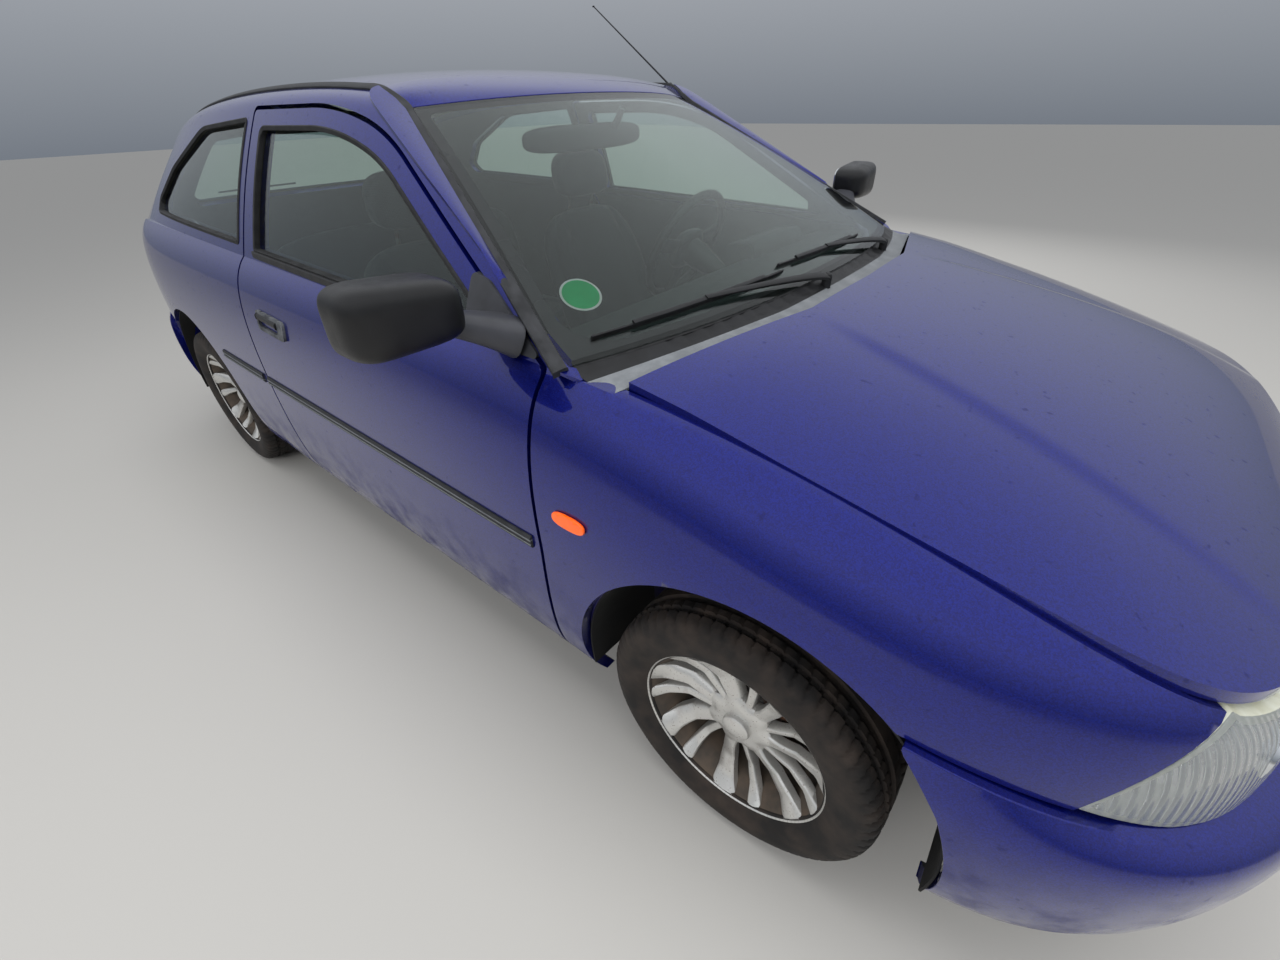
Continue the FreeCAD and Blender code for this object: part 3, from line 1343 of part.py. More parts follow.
ENGINE_BACK = FRONT_AXLE - 145
bound_box("engine", ("engine_long", "engine_wide", "engine_tall"),
          (ENGINE_BACK, -size("engine_wide") / 2, size("engine_base")))

# Wheels: each rim with its hub and brake disc, and each tyre, turned about the Y axis


def plane_of(body, role):
    """One of a body's own origin planes."""
    return next(f for f in body.Origin.OriginFeatures if f.Role == role)


def sketch_on(body, label, role, points, depth=0.0):
    """A closed outline of straight lines on one of the body's planes."""
    sketch = body.newObject("Sketcher::SketchObject", label)
    sketch.AttachmentSupport = [(plane_of(body, role), "")]
    sketch.MapMode = "FlatFace"
    sketch.AttachmentOffset = Placement(Vector(0, 0, depth), Rotation())
    count = len(points)
    for i in range(count):
        a, b = points[i], points[(i + 1) % count]
        sketch.addGeometry(Part.LineSegment(Vector(a[0], a[1], 0), Vector(b[0], b[1], 0)), False)
    return sketch


def turned(body, label, points):
    """A profile of pairs (y, radius), turned round the wheel's axle."""
    sketch = sketch_on(body, label + "_profile", "YZ_Plane", points)
    feature = body.newObject("PartDesign::Revolution", label)
    feature.Profile = sketch
    feature.ReferenceAxis = (sketch, ["H_Axis"])
    feature.Angle = 360.0
    return feature


def spoke(body, label, points, start, depth):
    """A spoke's outline in the wheel's face, padded towards the middle of the car."""
    sketch = sketch_on(body, label + "_outline", "XZ_Plane", points, -start)
    pad = body.newObject("PartDesign::Pad", label)
    pad.Profile = sketch
    pad.Length = depth
    pattern = body.newObject("PartDesign::PolarPattern", label + "_pattern")
    pattern.Originals = [pad]
    pattern.Axis = (sketch, ["N_Axis"])
    pattern.Angle = 360.0
    pattern.setExpression("Occurrences", "Sizes.spoke_pairs")
    body.Tip = pattern
    return pattern


def swept_bar(turn, inner, outer, wide_in, wide_out, lead):
    """A spoke's outline: a bar from one radius to another whose outer end leads by an angle."""
    def at(radius, angle, offset):
        a = math.radians(angle)
        return (radius * math.cos(a) - offset * math.sin(a), radius * math.sin(a) + offset * math.cos(a))
    return [
        at(inner, turn, -wide_in / 2),
        at(outer, turn + lead, -wide_out / 2),
        at(outer, turn + lead, wide_out / 2),
        at(inner, turn, wide_in / 2),
    ]


def wheel(label, x, side):
    """A rim with spokes, hub, centre cap and brake disc."""
    body = doc.addObject("PartDesign::Body", label)
    body.Label = label
    lip = size("rim_radius")
    wide = size("rim_width") / 2
    wall = size("rim_wall")
    well = lip - 20
    turned(body, "barrel", [
        (-wide, lip), (-wide + 40, well), (wide - 40, well), (wide, lip),
        (wide, lip - wall), (wide - 40, well - wall), (-wide + 40, well - wall), (-wide, lip - wall),
    ])
    pitch = 360.0 / size("spoke_pairs")
    reach = well - wall / 2
    spoke(body, "wide_spoke", swept_bar(0, 40, reach, 34, 44, 10), 34, 24)
    spoke(body, "narrow_spoke", swept_bar(pitch / 2, 40, reach, 12, 16, 10), 32, 20)
    hub = size("hub_radius")
    cap = size("cap_radius")
    bore = STUB + size("run_clear")
    disc = size("disc_radius")
    thick = size("disc_thick")
    turned(body, "hub", [
        (DISC_Y, bore), (DISC_Y, disc), (DISC_Y + thick, disc), (DISC_Y + thick, hub), (40, hub),
        (46, hub - 14), (46, cap), (54, cap), (58, cap - 12), (58, 0), (SPINDLE_END + 2, 0), (SPINDLE_END + 2, bore),
    ])
    half_turn = Rotation(Vector(0, 0, 1), 0 if side > 0 else 180)
    body.Placement = Placement(Vector(x, side * HALF_TRACK, AXLE_Z), half_turn)
    pieces.append(body)


def tyre(label, x, side):
    """A tyre of flat strips, closed against the rim's lips."""
    out = size("tyre_radius")
    lip = size("rim_radius")
    wide = size("rim_width") / 2
    count = int(size("tyre_facets"))
    seat = (lip + SEAT_GAP) / math.cos(math.pi / count)
    profile = [
        (-wide, seat), (-TYRE_HALF, lip + 36), (-TYRE_HALF + 7, out - 16), (-TYRE_HALF + 30, out),
        (TYRE_HALF - 30, out), (TYRE_HALF - 7, out - 16), (TYRE_HALF, lip + 36), (wide, seat),
    ]
    rings = []
    for k in range(count):
        angle = 2 * math.pi * k / count
        centre, away = Vector(x, side * HALF_TRACK, AXLE_Z), Vector(math.sin(angle), 0, math.cos(angle))
        rings.append([centre + Vector(0, y, 0) + away * r for y, r in profile])
    faces = []
    for k in range(count):
        here, there = rings[k], rings[(k + 1) % count]
        for i in range(len(profile)):
            j = (i + 1) % len(profile)
            faces.append(Part.Face(Part.makePolygon([here[i], here[j], there[j], there[i], here[i]])))
    shell = Part.Shell(faces)
    shell.sewShape()
    solid = Part.Solid(shell)
    if solid.Volume < 0:
        solid.reverse()
    keep(label, solid)


for end, x in (("front", FRONT_AXLE), ("rear", REAR_AXLE)):
    for name, side in SIDES:
        wheel("wheel_%s_%s" % (end, name), x, side)
        tyre("tyre_%s_%s" % (end, name), x, side)


def steering_wheel():
    """The steering wheel with its column."""
    body = doc.addObject("PartDesign::Body", "steering_wheel")
    body.Label = "steering_wheel"
    ring, grip = size("grip_ring"), size("grip_radius")
    turned(body, "hub", [(-30, 0), (-30, 62), (8, 62), (24, 40), (24, 0)])
    spoke_sketch = sketch_on(body, "spokes_outline", "XZ_Plane", [
        (-ring, -22), (-ring, 16), (-40, 34), (40, 34), (ring, 16), (ring, -22), (60, -40), (22, -ring), (-22, -ring), (-60, -40),
    ], 4)
    pad = body.newObject("PartDesign::Pad", "spokes")
    pad.Profile = spoke_sketch
    pad.Length = 16
    eighth = grip * 0.414
    turned(body, "ring", [
        (-grip, ring - eighth), (-grip, ring + eighth), (-eighth, ring + grip), (eighth, ring + grip),
        (grip, ring + eighth), (grip, ring - eighth), (eighth, ring - grip), (-eighth, ring - grip),
    ])
    turned(body, "column", [
        (-COLUMN_LONG, 0), (-COLUMN_LONG, COLUMN_RADIUS), (-200, COLUMN_RADIUS), (-28, 32), (-28, 0),
    ])
    lean = size("column_lean")
    toward = Vector(-math.cos(math.radians(lean)), 0, math.sin(math.radians(lean)))
    body.Placement = Placement(Vector(*STEER_AT), Rotation(Vector(0, 1, 0), toward))
    pieces.append(body)


steering_wheel()

# Every object is checked before anything is written

doc.recompute()
for obj in doc.Objects:
    if "Invalid" in obj.State or "Error" in obj.State:
        raise RuntimeError("%s failed" % obj.Name)
for obj in pieces:
    if obj.Shape.isNull() or not obj.Shape.isValid():
        raise RuntimeError("%s has no sound shape" % obj.Label)
os.makedirs("parts", exist_ok=True)
for obj in pieces:
    obj.Shape.exportStep("parts/%s.step" % obj.Label)
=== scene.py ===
# The finished look of a three-door hatchback car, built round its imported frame.
# Lengths in the tables are millimetres.
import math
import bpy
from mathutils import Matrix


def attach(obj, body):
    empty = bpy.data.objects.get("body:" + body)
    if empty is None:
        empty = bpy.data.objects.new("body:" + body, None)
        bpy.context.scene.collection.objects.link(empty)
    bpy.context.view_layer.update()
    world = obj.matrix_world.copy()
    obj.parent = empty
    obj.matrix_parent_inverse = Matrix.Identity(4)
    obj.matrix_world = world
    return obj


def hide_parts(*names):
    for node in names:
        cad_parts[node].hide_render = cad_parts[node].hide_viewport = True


bl_info = {
    "name": "Hatchback Car Dressing",
    "version": (1, 0, 0),
    "blender": (4, 5, 0),
    "location": "3D View > Sidebar > Hatchback",
    "description": "Builds the panels, glass, lamps, wheels, cabin and finishes of a three-door hatchback",
    "category": "Object",
}

import bpy
import numpy as np
from mathutils import Matrix
from mathutils.geometry import delaunay_2d_cdt

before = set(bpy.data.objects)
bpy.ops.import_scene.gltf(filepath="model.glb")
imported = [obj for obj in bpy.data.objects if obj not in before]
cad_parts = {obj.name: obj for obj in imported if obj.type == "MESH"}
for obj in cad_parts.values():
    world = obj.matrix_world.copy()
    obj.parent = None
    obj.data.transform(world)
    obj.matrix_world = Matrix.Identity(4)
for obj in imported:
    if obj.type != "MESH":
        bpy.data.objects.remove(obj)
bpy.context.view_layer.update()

# Sizes shared with the frame

MM = 0.001
NOSE, TAIL = 1940.0, -1940.0
SILL = 200.0
FRONT_AXLE, REAR_AXLE, HALF_TRACK, AXLE_Z = 1135.0, -1280.0, 725.0, 284.0
ARCH_X, ARCH_Z, ARCH_RADIUS = 12.0, 310.0, 358.0
SHUT = 9.0
DOOR_FRONT, DOOR_REAR, DOOR_LOW, HEAD_Z = 703.0, -548.0, 228.0, 1285.0
GATE_HALF, LAMP_INNER = 560.0, 428.0
SIDES = (("left", 1), ("right", -1))

# The skins: the same tables as the frame's

RIBBON = np.array([
    (TAIL + 58, 0, 1.00, 0.00, 905, 26, 30),
    (TAIL + 62, 250, 1.00, 0.00, 905, 26, 30),
    (TAIL + 82, 480, 0.97, -0.24, 906, 30, 34),
    (TAIL + 122, 650, 0.85, -0.52, 912, 40, 44),
    (TAIL + 205, 765, 0.50, -0.86, 930, 58, 56),
    (TAIL + 350, 817, 0.20, -0.98, 948, 68, 60),
    (TAIL + 590, 836, 0.00, -1.00, 951, 73, 60),
    (-900, 842, 0.00, -1.00, 944, 74, 60),
    (-300, 842, 0.00, -1.00, 933, 73, 60),
    (300, 842, 0.00, -1.00, 921, 73, 60),
    (800, 842, 0.00, -1.00, 908, 92, 60),
    (NOSE - 760, 839, 0.00, -1.00, 844, 116, 60),
    (NOSE - 520, 818, -0.15, -0.99, 784, 112, 58),
    (NOSE - 365, 768, -0.40, -0.92, 740, 80, 54),
    (NOSE - 250, 700, -0.60, -0.80, 702, 42, 44),
    (NOSE - 172, 600, -0.80, -0.60, 676, 42, 36),
    (NOSE - 120, 430, -0.95, -0.30, 664, 42, 32),
    (NOSE - 90, 220, -1.00, 0.00, 660, 42, 30),
    (NOSE - 84, 0, -1.00, 0.00, 660, 42, 30),
])
RIBBON_ROWS = np.array([
    (0.00, 1.00, 0.00), (0.06, 0.45, 0.00), (0.20, 0.02, 0.00), (0.48, 0.00, -0.03),
    (0.70, 0.00, 0.00), (0.87, 0.00, 0.22), (0.96, 0.00, 0.58), (1.00, 0.00, 1.00),
])
HOUSE = np.array([
    (-1800, 690, 925, 486, 1120, 420, 1142, 20),
    (-1600, 738, 943, 545, 1175, 478, 1203, 26),
    (-1350, 760, 950, 574, 1226, 512, 1258, 34),
    (-1050, 768, 946, 598, 1268, 538, 1302, 39),
    (-600, 770, 937, 614, 1294, 553, 1328, 42),
    (-150, 770, 928, 612, 1296, 552, 1329, 40),
    (150, 770, 922, 604, 1274, 545, 1304, 30),
    (450, 768, 915, 596, 1228, 536, 1256, 12),
    (800, 748, 905, 588, 1166, 526, 1190, 0),
], float)
HOUSE_SHARES, HOUSE_BOW, SHOULDER_IN, SHOULDER_UP = (0.0, 0.33, 0.68, 1.0), 14.0, 16.0, 26.0
ROOF_ROWS = np.array([(-1.0, 0.0), (-0.82, 0.45), (-0.4, 1.0), (0.4, 1.0), (0.82, 0.45), (1.0, 0.0)])
BONNET = np.array([
    (1180, 760, 912, 960), (960, 750, 882, 942), (740, 730, 842, 905), (500, 712, 784, 856),
    (330, 696, 738, 802), (210, 684, 700, 742), (130, 672, 672, 684), (60, 664, 640, 610),
], float)
BONNET_ROWS = np.array([
    (-1.0, 0.0), (-0.84, 0.42), (-0.5, 0.86), (-0.2, 1.0), (0.2, 1.0), (0.5, 0.86), (0.84, 0.42), (1.0, 0.0),
])
TAIL_STATIONS = np.array([
    (560, 56, 69), (700, 56, 69), (850, 64, 72), (930, 84, 84), (1030, 172, 100),
    (1130, 292, 112), (1230, 438, 118), (1310, 590, 118),
], float)
TAIL_ROWS = np.array([(-1.0, 1.0), (-0.8, 0.5), (-0.4, 0.05), (0.0, 0.0), (0.4, 0.05), (0.8, 0.5), (1.0, 1.0)])
TAIL_HALF = 660.0
SCREEN_FOOT, SCREEN_HEAD = (735.0, 756.0, 915.0), (63.0, 520.0, 1277.0)
SCREEN_MID_FOOT, SCREEN_MID_HEAD = (885.0, 938.0), (176.0, 1299.0)
SCREEN_STATIONS = ((0.0, 0), (0.33, 10), (0.67, 10), (1.0, 0))
SCREEN_ROWS = ((-1.0, 0.0), (-0.8, 0.45), (-0.4, 1.0), (0.4, 1.0), (0.8, 0.45), (1.0, 0.0))
FRONT_BUMPER = np.array([
    (546, 838, 0.00, -1.00, 577, 12), (470, 836, 0.00, -1.00, 564, 22), (400, 826, -0.08, -1.00, 551, 32),
    (300, 792, -0.35, -0.94, 531, 42), (190, 716, -0.60, -0.80, 516, 54), (96, 590, -0.78, -0.62, 509, 64),
    (40, 420, -0.93, -0.36, 505, 76), (8, 200, -1.00, -0.06, 502, 78), (0, 0, -1.00, 0.00, 502, 78),
])
REAR_BUMPER = np.array([
    (350, 834, 0.00, -1.00, 612, 36), (260, 824, 0.12, -0.99, 612, 50), (165, 782, 0.50, -0.86, 612, 60),
    (80, 690, 0.80, -0.60, 612, 60), (32, 540, 0.96, -0.28, 612, 60), (6, 300, 1.00, -0.04, 612, 60),
    (0, 0, 1.00, 0.00, 612, 60),
])
FRONT_SECTION = np.array([(205, 62), (222, 34), (290, 8), (400, -2), (478, 0), (520, 22), (548, 66)], float)
REAR_SECTION = np.array([(240, 62), (255, 34), (320, 8), (430, -2), (530, 0), (580, 12), (612, 60)], float)

# Outlines in the side view; a third value rounds a corner

DOOR = [
    (DOOR_FRONT, DOOR_LOW, 30), (DOOR_FRONT + 6, 560, 200), (DOOR_FRONT - 14, 898, 14), (120, 1240, 560),
    (-90, HEAD_Z, 1000), (DOOR_REAR + 34, HEAD_Z - 2, 14), (DOOR_REAR - 6, 936, 200),
    (DOOR_REAR + 14, 560, 200), (DOOR_REAR + 60, DOOR_LOW, 60),
]
DOOR_WINDOW = [
    (560, 930, 10), (120, 1194, 520), (-80, HEAD_Z - 38, 900), (DOOR_REAR + 84, HEAD_Z - 40, 22),
    (DOOR_REAR + 66, 958, 10),
]
QUARTER = [
    (DOOR_REAR - 44, 966, 10), (DOOR_REAR - 16, HEAD_Z - 22, 12), (-960, 1240, 300), (-1270, 1122, 200),
    (-1450, 984, 30),
]
GATE_HINGE = (-1300.0, 1306.0)
GATE_WINDOW = [(536, 962, 40), (430, 1212, 60), (-430, 1212, 60), (-536, 962, 40)]

# Other sizes. The camera's turn is a rotation vector, and its place is in metres

BONNET_CORNER, BONNET_REAR = 846, 957
AMBER_BAND = (800, 850)
TREAD_PITCHES = 68
SHARP_DEGREES = 35
CAMERA_TURN = (2.08600203, 0.72532749, -0.40952322)
CAMERA_PLACE, CAMERA_LENS = (1.38569, -1.33872, 1.28595), 15.446


def spline_weights(count, t):
    """Weights of a clamped, even cubic B-spline's poles at each t from 0 to 1, by Cox and de Boor's rule."""
    knots = np.concatenate((np.zeros(3), np.linspace(0, 1, count - 2), np.ones(3)))
    t = np.clip(np.asarray(t, float), 0, 1 - 1e-9)[:, None]
    weights = ((knots[:-1] <= t) & (t < knots[1:])).astype(float)
    last = len(knots) - 1
    for degree in (1, 2, 3):
        rise = knots[degree:last] - knots[:last - degree]
        fall = knots[degree + 1:] - knots[1:last - degree + 1]
        up = np.where(rise > 0, (t - knots[:last - degree]) / np.where(rise > 0, rise, 1), 0)
        down = np.where(fall > 0, (knots[degree + 1:] - t) / np.where(fall > 0, fall, 1), 0)
        weights = up * weights[:, :-1] + down * weights[:, 1:]
    return weights


def surface(poles, u, v):
    """Points of the cubic surface over a net of poles, at pairs of its two parameters."""
    along, across = spline_weights(poles.shape[0], u), spline_weights(poles.shape[1], v)
    return np.einsum("ki,kj,ijc->kc", along, across, poles)


def joined(*columns):
    """Columns of equal shape as one array of points."""
    return np.stack(np.broadcast_arrays(*columns), axis=-1).astype(float)


def way_along(points):
    """How far each point of a line lies along it."""
    return np.concatenate(([0], np.cumsum(np.linalg.norm(np.diff(points, axis=0), axis=1))))


FINE = np.linspace(0, 1, 401)
ROOF_SPAN = spline_weights(len(ROOF_ROWS), FINE) @ ROOF_ROWS[:, 0]
SCREEN_SPAN = spline_weights(len(SCREEN_ROWS), FINE) @ np.array(SCREEN_ROWS)[:, 0]


class Ribbon:
    """The body side from tail to nose. A place on it is (s, z): the way along its middle, and the height."""

    def __init__(self, side):
        self.side = side
        self.length = way_along(self.points(FINE, np.full(len(FINE), 0.5), 0)[:, :2])
        self.climb = spline_weights(len(RIBBON_ROWS), FINE) @ RIBBON_ROWS[:, 0]
        self.end = self.length[-1]

    def points(self, u, v, depth):
        """Each pole lies in from the widest line by its row's shares of low_in and top_in, and the depth."""
        x, y, nx, ny, top, top_in, low_in = (c[:, None] for c in RIBBON.T)
        up, low_share, top_share = (c[None, :] for c in RIBBON_ROWS.T)
        move = low_share * low_in + top_share * top_in + depth
        poles = joined(x + nx * move, self.side * np.maximum(0, y + ny * move), SILL + up * (top - SILL))
        return surface(poles, u, v)

    def top(self, s):
        """Height of the upper edge."""
        u = np.interp(s, self.length, FINE)
        return spline_weights(len(RIBBON), u) @ RIBBON[:, 4]

    def lift(self, places, depth=0.0):
        """Points of places on the skin, set in by a depth."""
        s, z = places[:, 0], places[:, 1]
        v = np.interp((z - SILL) / (self.top(s) - SILL), self.climb, FINE)
        return self.points(np.interp(s, self.length, FINE), v, depth)

    def where(self, axis, value, z, low=0.0, high=1.0):
        """s at which x (axis 0) or |y| (axis 1) takes a value at a height, by halving."""
        value, z = np.broadcast_arrays(np.asarray(value, float), np.asarray(z, float))
        value, z = value.ravel(), z.ravel()
        a, b = np.full(len(value), low * self.end), np.full(len(value), high * self.end)
        rising = abs(self.lift(joined(b, z))[:, axis]) if axis else self.lift(joined(b, z))[:, 0]
        start = abs(self.lift(joined(a, z))[:, axis]) if axis else self.lift(joined(a, z))[:, 0]
        grows = rising > start
        for _ in range(26):
            middle = (a + b) / 2
            here = self.lift(joined(middle, z))[:, axis]
            here = abs(here) if axis else here
            before = (here < value) == grows
            a, b = np.where(before, middle, a), np.where(before, b, middle)
        return (a + b) / 2

    def side_line(self, line):
        """A line of the side view, as places on the ribbon."""
        line = np.asarray(line, float)
        return joined(self.where(0, line[:, 0], line[:, 1]), line[:, 1])

    def top_line(self, x0, x1, step=20):
        """The upper edge between two x."""
        s0, s1 = self.where(0, [x0, x1], [self.top_at(x0), self.top_at(x1)])
        s = np.linspace(s0, s1, max(2, int(abs(s1 - s0) / step)))
        return joined(s, self.top(s) - 0.01)

    def top_at(self, x):
        """Height of the upper edge near an x."""
        return float(np.interp(x, RIBBON[:, 0], RIBBON[:, 4]))


class House:
    """The glasshouse side over the belt. A place is (x, w), with w from 0 at the belt to WAY at the roof."""
    WAY = 480.0

    def __init__(self, side):
        self.side = side
        self.x_table = spline_weights(len(HOUSE), FINE) @ HOUSE[:, 0]

    def poles(self, depth):
        """Rows from the belt by four shares to the cantrail, then its shoulder and the roof's edge."""
        x, belt_y, belt_z, rail_y, rail_z, edge_y, edge_z, crown = HOUSE.T
        rows = []
        for share in HOUSE_SHARES:
            y = belt_y + (rail_y - belt_y) * share + HOUSE_BOW * math.sin(math.pi * share) - depth
            rows.append(joined(x, self.side * y, belt_z - 4 + (rail_z - belt_z + 4) * share))
        shoulder = rail_y - SHOULDER_IN - depth * 0.6
        rows.append(joined(x, self.side * shoulder, rail_z + SHOULDER_UP - depth * 0.7))
        rows.append(joined(x, self.side * edge_y, edge_z - depth))
        return np.stack(rows, axis=1)

    def side_line(self, line):
        """A line of the side view, as places."""
        line = np.asarray(line, float)
        u = np.interp(line[:, 0], self.x_table, FINE)
        v = np.linspace(0, 1, 161)
        heights = spline_weights(len(HOUSE), u) @ self.poles(0)[:, :, 2] @ spline_weights(6, v).T
        low = np.clip((heights < line[:, 1:2]).sum(axis=1) - 1, 0, len(v) - 2)
        rows = np.arange(len(u))
        a, b = heights[rows, low], heights[rows, low + 1]
        v = v[low] + (v[1] - v[0]) * np.clip((line[:, 1] - a) / np.maximum(b - a, 1e-6), 0, 1)
        return joined(line[:, 0], v * self.WAY)

    def lift(self, places, depth=0.0):
        """Points of places on the skin, set in by a depth."""
        u = np.interp(places[:, 0], self.x_table, FINE)
        return surface(self.poles(depth), u, places[:, 1] / self.WAY)

    def belt(self, x):
        """Height of the belt at an x."""
        u = np.interp(x, self.x_table, FINE)
        return spline_weights(len(HOUSE), u) @ (HOUSE[:, 2] - 4) + 0.3


def roof_poles():
    """The roof's poles: shares of the edge's half width, raised by shares of the crown."""
    share, up = ROOF_ROWS.T
    x, edge_y, edge_z, crown = (HOUSE[:, i][:, None] for i in (0, 5, 6, 7))
    return joined(x, share * edge_y, edge_z + crown * up)


def screen_poles(sink=0.0):
    """The windscreen's poles: straight up, with the middle ahead of the sides and a slight bulge."""
    rows = []
    for up, bulge in SCREEN_STATIONS:
        side = [a + (b - a) * up for a, b in zip(SCREEN_FOOT, SCREEN_HEAD)]
        middle = [a + (b - a) * up for a, b in zip(SCREEN_MID_FOOT, SCREEN_MID_HEAD)]
        line = []
        for across, reach in SCREEN_ROWS:
            line.append((side[0] + (middle[0] - side[0]) * reach + bulge, across * side[1],
                         side[2] + (middle[1] - side[2]) * reach + bulge - sink))
        rows.append(line)
    return np.array(rows, float)


def tail_poles(inset=0.0):
    """The tail's poles: each height's middle x, with the sides swept forward."""
    z, x, sweep = (c[:, None] for c in TAIL_STATIONS.T)
    share, part = TAIL_ROWS.T
    return joined(TAIL + x + sweep * part + inset, share * TAIL_HALF, z)


def tail_lift(places, depth=0.0):
    """A place on the tail is (y, z)."""
    u = np.interp(places[:, 1], spline_weights(len(TAIL_STATIONS), FINE) @ TAIL_STATIONS[:, 0], FINE)
    v = np.interp(places[:, 0], spline_weights(len(TAIL_ROWS), FINE) @ TAIL_ROWS[:, 0] * TAIL_HALF, FINE)
    return surface(tail_poles(depth), u, v)


def gate_lift(places, depth=0.0):
    """A place on the tailgate is (y, z). Its depth is square to the surface, so that its edges clear."""
    step = joined(np.zeros(len(places)), 5.0)
    lean = (tail_lift(places + step)[:, 0] - tail_lift(places - step)[:, 0]) / 10
    return tail_lift(joined(places[:, 0], places[:, 1] - depth * lean / (1 + lean * lean)), depth)


def bonnet_lift(places, depth=0.0):
    """A place on the bonnet is (x, y). Two soft creases run forward from the windscreen's corners."""
    u = np.interp(places[:, 0], (spline_weights(len(BONNET), FINE) @ (NOSE - BONNET[:, 0])), FINE)
    edge = spline_weights(len(BONNET), u) @ BONNET[:, 1]
    v = np.interp(places[:, 1] / edge, spline_weights(len(BONNET_ROWS), FINE) @ BONNET_ROWS[:, 0], FINE)
    share, up = BONNET_ROWS.T
    back, edge_y, edge_z, middle = (c[:, None] for c in BONNET.T)
    poles = joined(NOSE - back, share * edge_y, edge_z + (middle - edge_z) * up - depth)
    points = surface(poles, u, v)
    line = 300 + 190 * np.clip((places[:, 0] - 950) / 800, 0, 1)
    step = (np.abs(places[:, 1]) - line) / 26
    fade = np.clip((places[:, 0] - 960) / 160, 0, 1) * np.clip((1800 - places[:, 0]) / 140, 0, 1)
    points[:, 2] -= 5.0 * fade / (1 + np.exp(-4 * step))
    return points


class Bumper:
    """A bumper's skin. A place on it is (t, z): the way from the middle, to the left, and the height."""

    def __init__(self, stations, section, end):
        self.section = section
        left = stations.copy()
        left[:, 0] = (NOSE - left[:, 0]) if end > 0 else (TAIL + left[:, 0])
        right = left[-2::-1] * np.array([1, -1, 1, -1, 1, 1])
        self.plan = np.concatenate((left, right))
        way = way_along(self.points(FINE, np.full(len(FINE), 0.5), 0)[:, :2])
        self.way = way[-1] / 2 - way
        self.heights = spline_weights(len(section), FINE) @ section[:, 0]

    def points(self, u, v, depth):
        """Each pole lies in from the plan's line by its section's share and the depth."""
        x, y, nx, ny, top, top_in = (c[:, None] for c in self.plan.T)
        z, move = (np.repeat(c[None, :], len(x), axis=0) for c in self.section.T)
        z[:, -2:] += (top - z[:, -1:]) * (0.55, 1.0)
        move[:, -2:] = top_in * (0.3, 1.0)
        return surface(joined(x + nx * (move + depth), y + ny * (move + depth), z), u, v)

    def lift(self, places, depth=0.0):
        """Points of places on the skin, set in by a depth."""
        u = np.interp(places[:, 0], self.way[::-1], FINE[::-1])
        return self.points(u, np.interp(places[:, 1], self.heights, FINE), depth)

    def where(self, x, z):
        """t on the left at which x takes a value at a height, by halving."""
        x, z = np.asarray(x, float), np.asarray(z, float)
        a, b = np.zeros(len(x)), np.full(len(x), self.way[0])
        ahead = self.lift(joined(a, z))[:, 0] > self.lift(joined(b, z))[:, 0]
        for _ in range(26):
            middle = (a + b) / 2
            before = (self.lift(joined(middle, z))[:, 0] > x) == ahead
            a, b = np.where(before, middle, a), np.where(before, b, middle)
        return (a + b) / 2


# Plane outlines


def drawn(points, step=16.0):
    """A closed line through corners, rounded where a corner has a radius, in steps no longer than step."""
    count, line = len(points), []
    for i in range(count):
        here = np.array(points[i][:2], float)
        radius = points[i][2] if len(points[i]) > 2 else 0
        before, after = np.array(points[i - 1][:2], float), np.array(points[(i + 1) % count][:2], float)
        a, b = (before - here) / np.linalg.norm(before - here), (after - here) / np.linalg.norm(after - here)
        half = math.acos(max(-1, min(1, float(a @ b)))) / 2
        if radius <= 0 or math.pi / 2 - half < 0.01:
            line.append(here[None])
            continue
        reach = radius / math.tan(half)
        middle = (a + b) / np.linalg.norm(a + b)
        centre = here + middle * radius / math.sin(half)
        first, last = here + a * reach - centre, here + b * reach - centre
        turn = math.atan2(first[0] * last[1] - first[1] * last[0], float(first @ last))
        angles = np.linspace(0, turn, max(3, int(abs(turn) * radius / step) + 3, int(abs(turn) * 8)))
        cos, sin = np.cos(angles), np.sin(angles)
        line.append(centre + joined(first[0] * cos - first[1] * sin, first[0] * sin + first[1] * cos))
    return divided(np.concatenate(line), step, True)


def divided(line, step=16.0, closed=False):
    """The line with points added so that no run is longer than step."""
    line = np.asarray(line, float)
    follow = np.roll(line, -1, axis=0) if closed else line[1:]
    pieces = []
    for a, b in zip(line, follow):
        share = np.linspace(0, 1, max(1, math.ceil(np.linalg.norm(b - a) / step)) + 1)[:-1, None]
        pieces.append(a + (b - a) * share)
    if not closed:
        pieces.append(line[-1:])
    return np.concatenate(pieces)


def grown(points, by):
    """An outline with each side moved outward, and its corners found again."""
    count = len(points)
    area = sum(a[0] * b[1] - b[0] * a[1] for a, b in zip(points, points[1:] + points[:1]))
    turn, moved = (1 if area > 0 else -1), []
    for i in range(count):
        a, b, c = (np.array(points[k % count][:2], float) for k in (i - 1, i, i + 1))
        first, second = (b - a) / np.linalg.norm(b - a), (c - b) / np.linalg.norm(c - b)
        n1, n2 = (turn * np.array((d[1], -d[0])) for d in (first, second))
        corner = b + (n1 + n2) * by / (1 + n1 @ n2)
        bulge = 1 if (first[0] * second[1] - first[1] * second[0]) * turn > 0 else -1
        moved.append(tuple(corner) + ((max(0.0, points[i][2] + by * bulge),) if len(points[i]) > 2 else ()))
    return moved


def parts_by(line, level):
    """The lower and upper part of a closed line that a level curve crosses twice, each in the line's order."""
    over = line[:, 1] - level(line[:, 0])
    start = next(i for i in range(len(line)) if over[i - 1] < 0 <= over[i])
    line, over = np.roll(line, -start, axis=0), np.roll(over, -start)
    count = int(np.argmax(over < 0))

    def cross(i, k):
        """The point between two at which the line crosses the curve."""
        return line[i] + (line[k] - line[i]) * over[i] / (over[i] - over[k])

    first, last = cross(-1, 0), cross(count - 1, count)
    return np.vstack((last, line[count:], first)), np.vstack((first, line[:count], last))


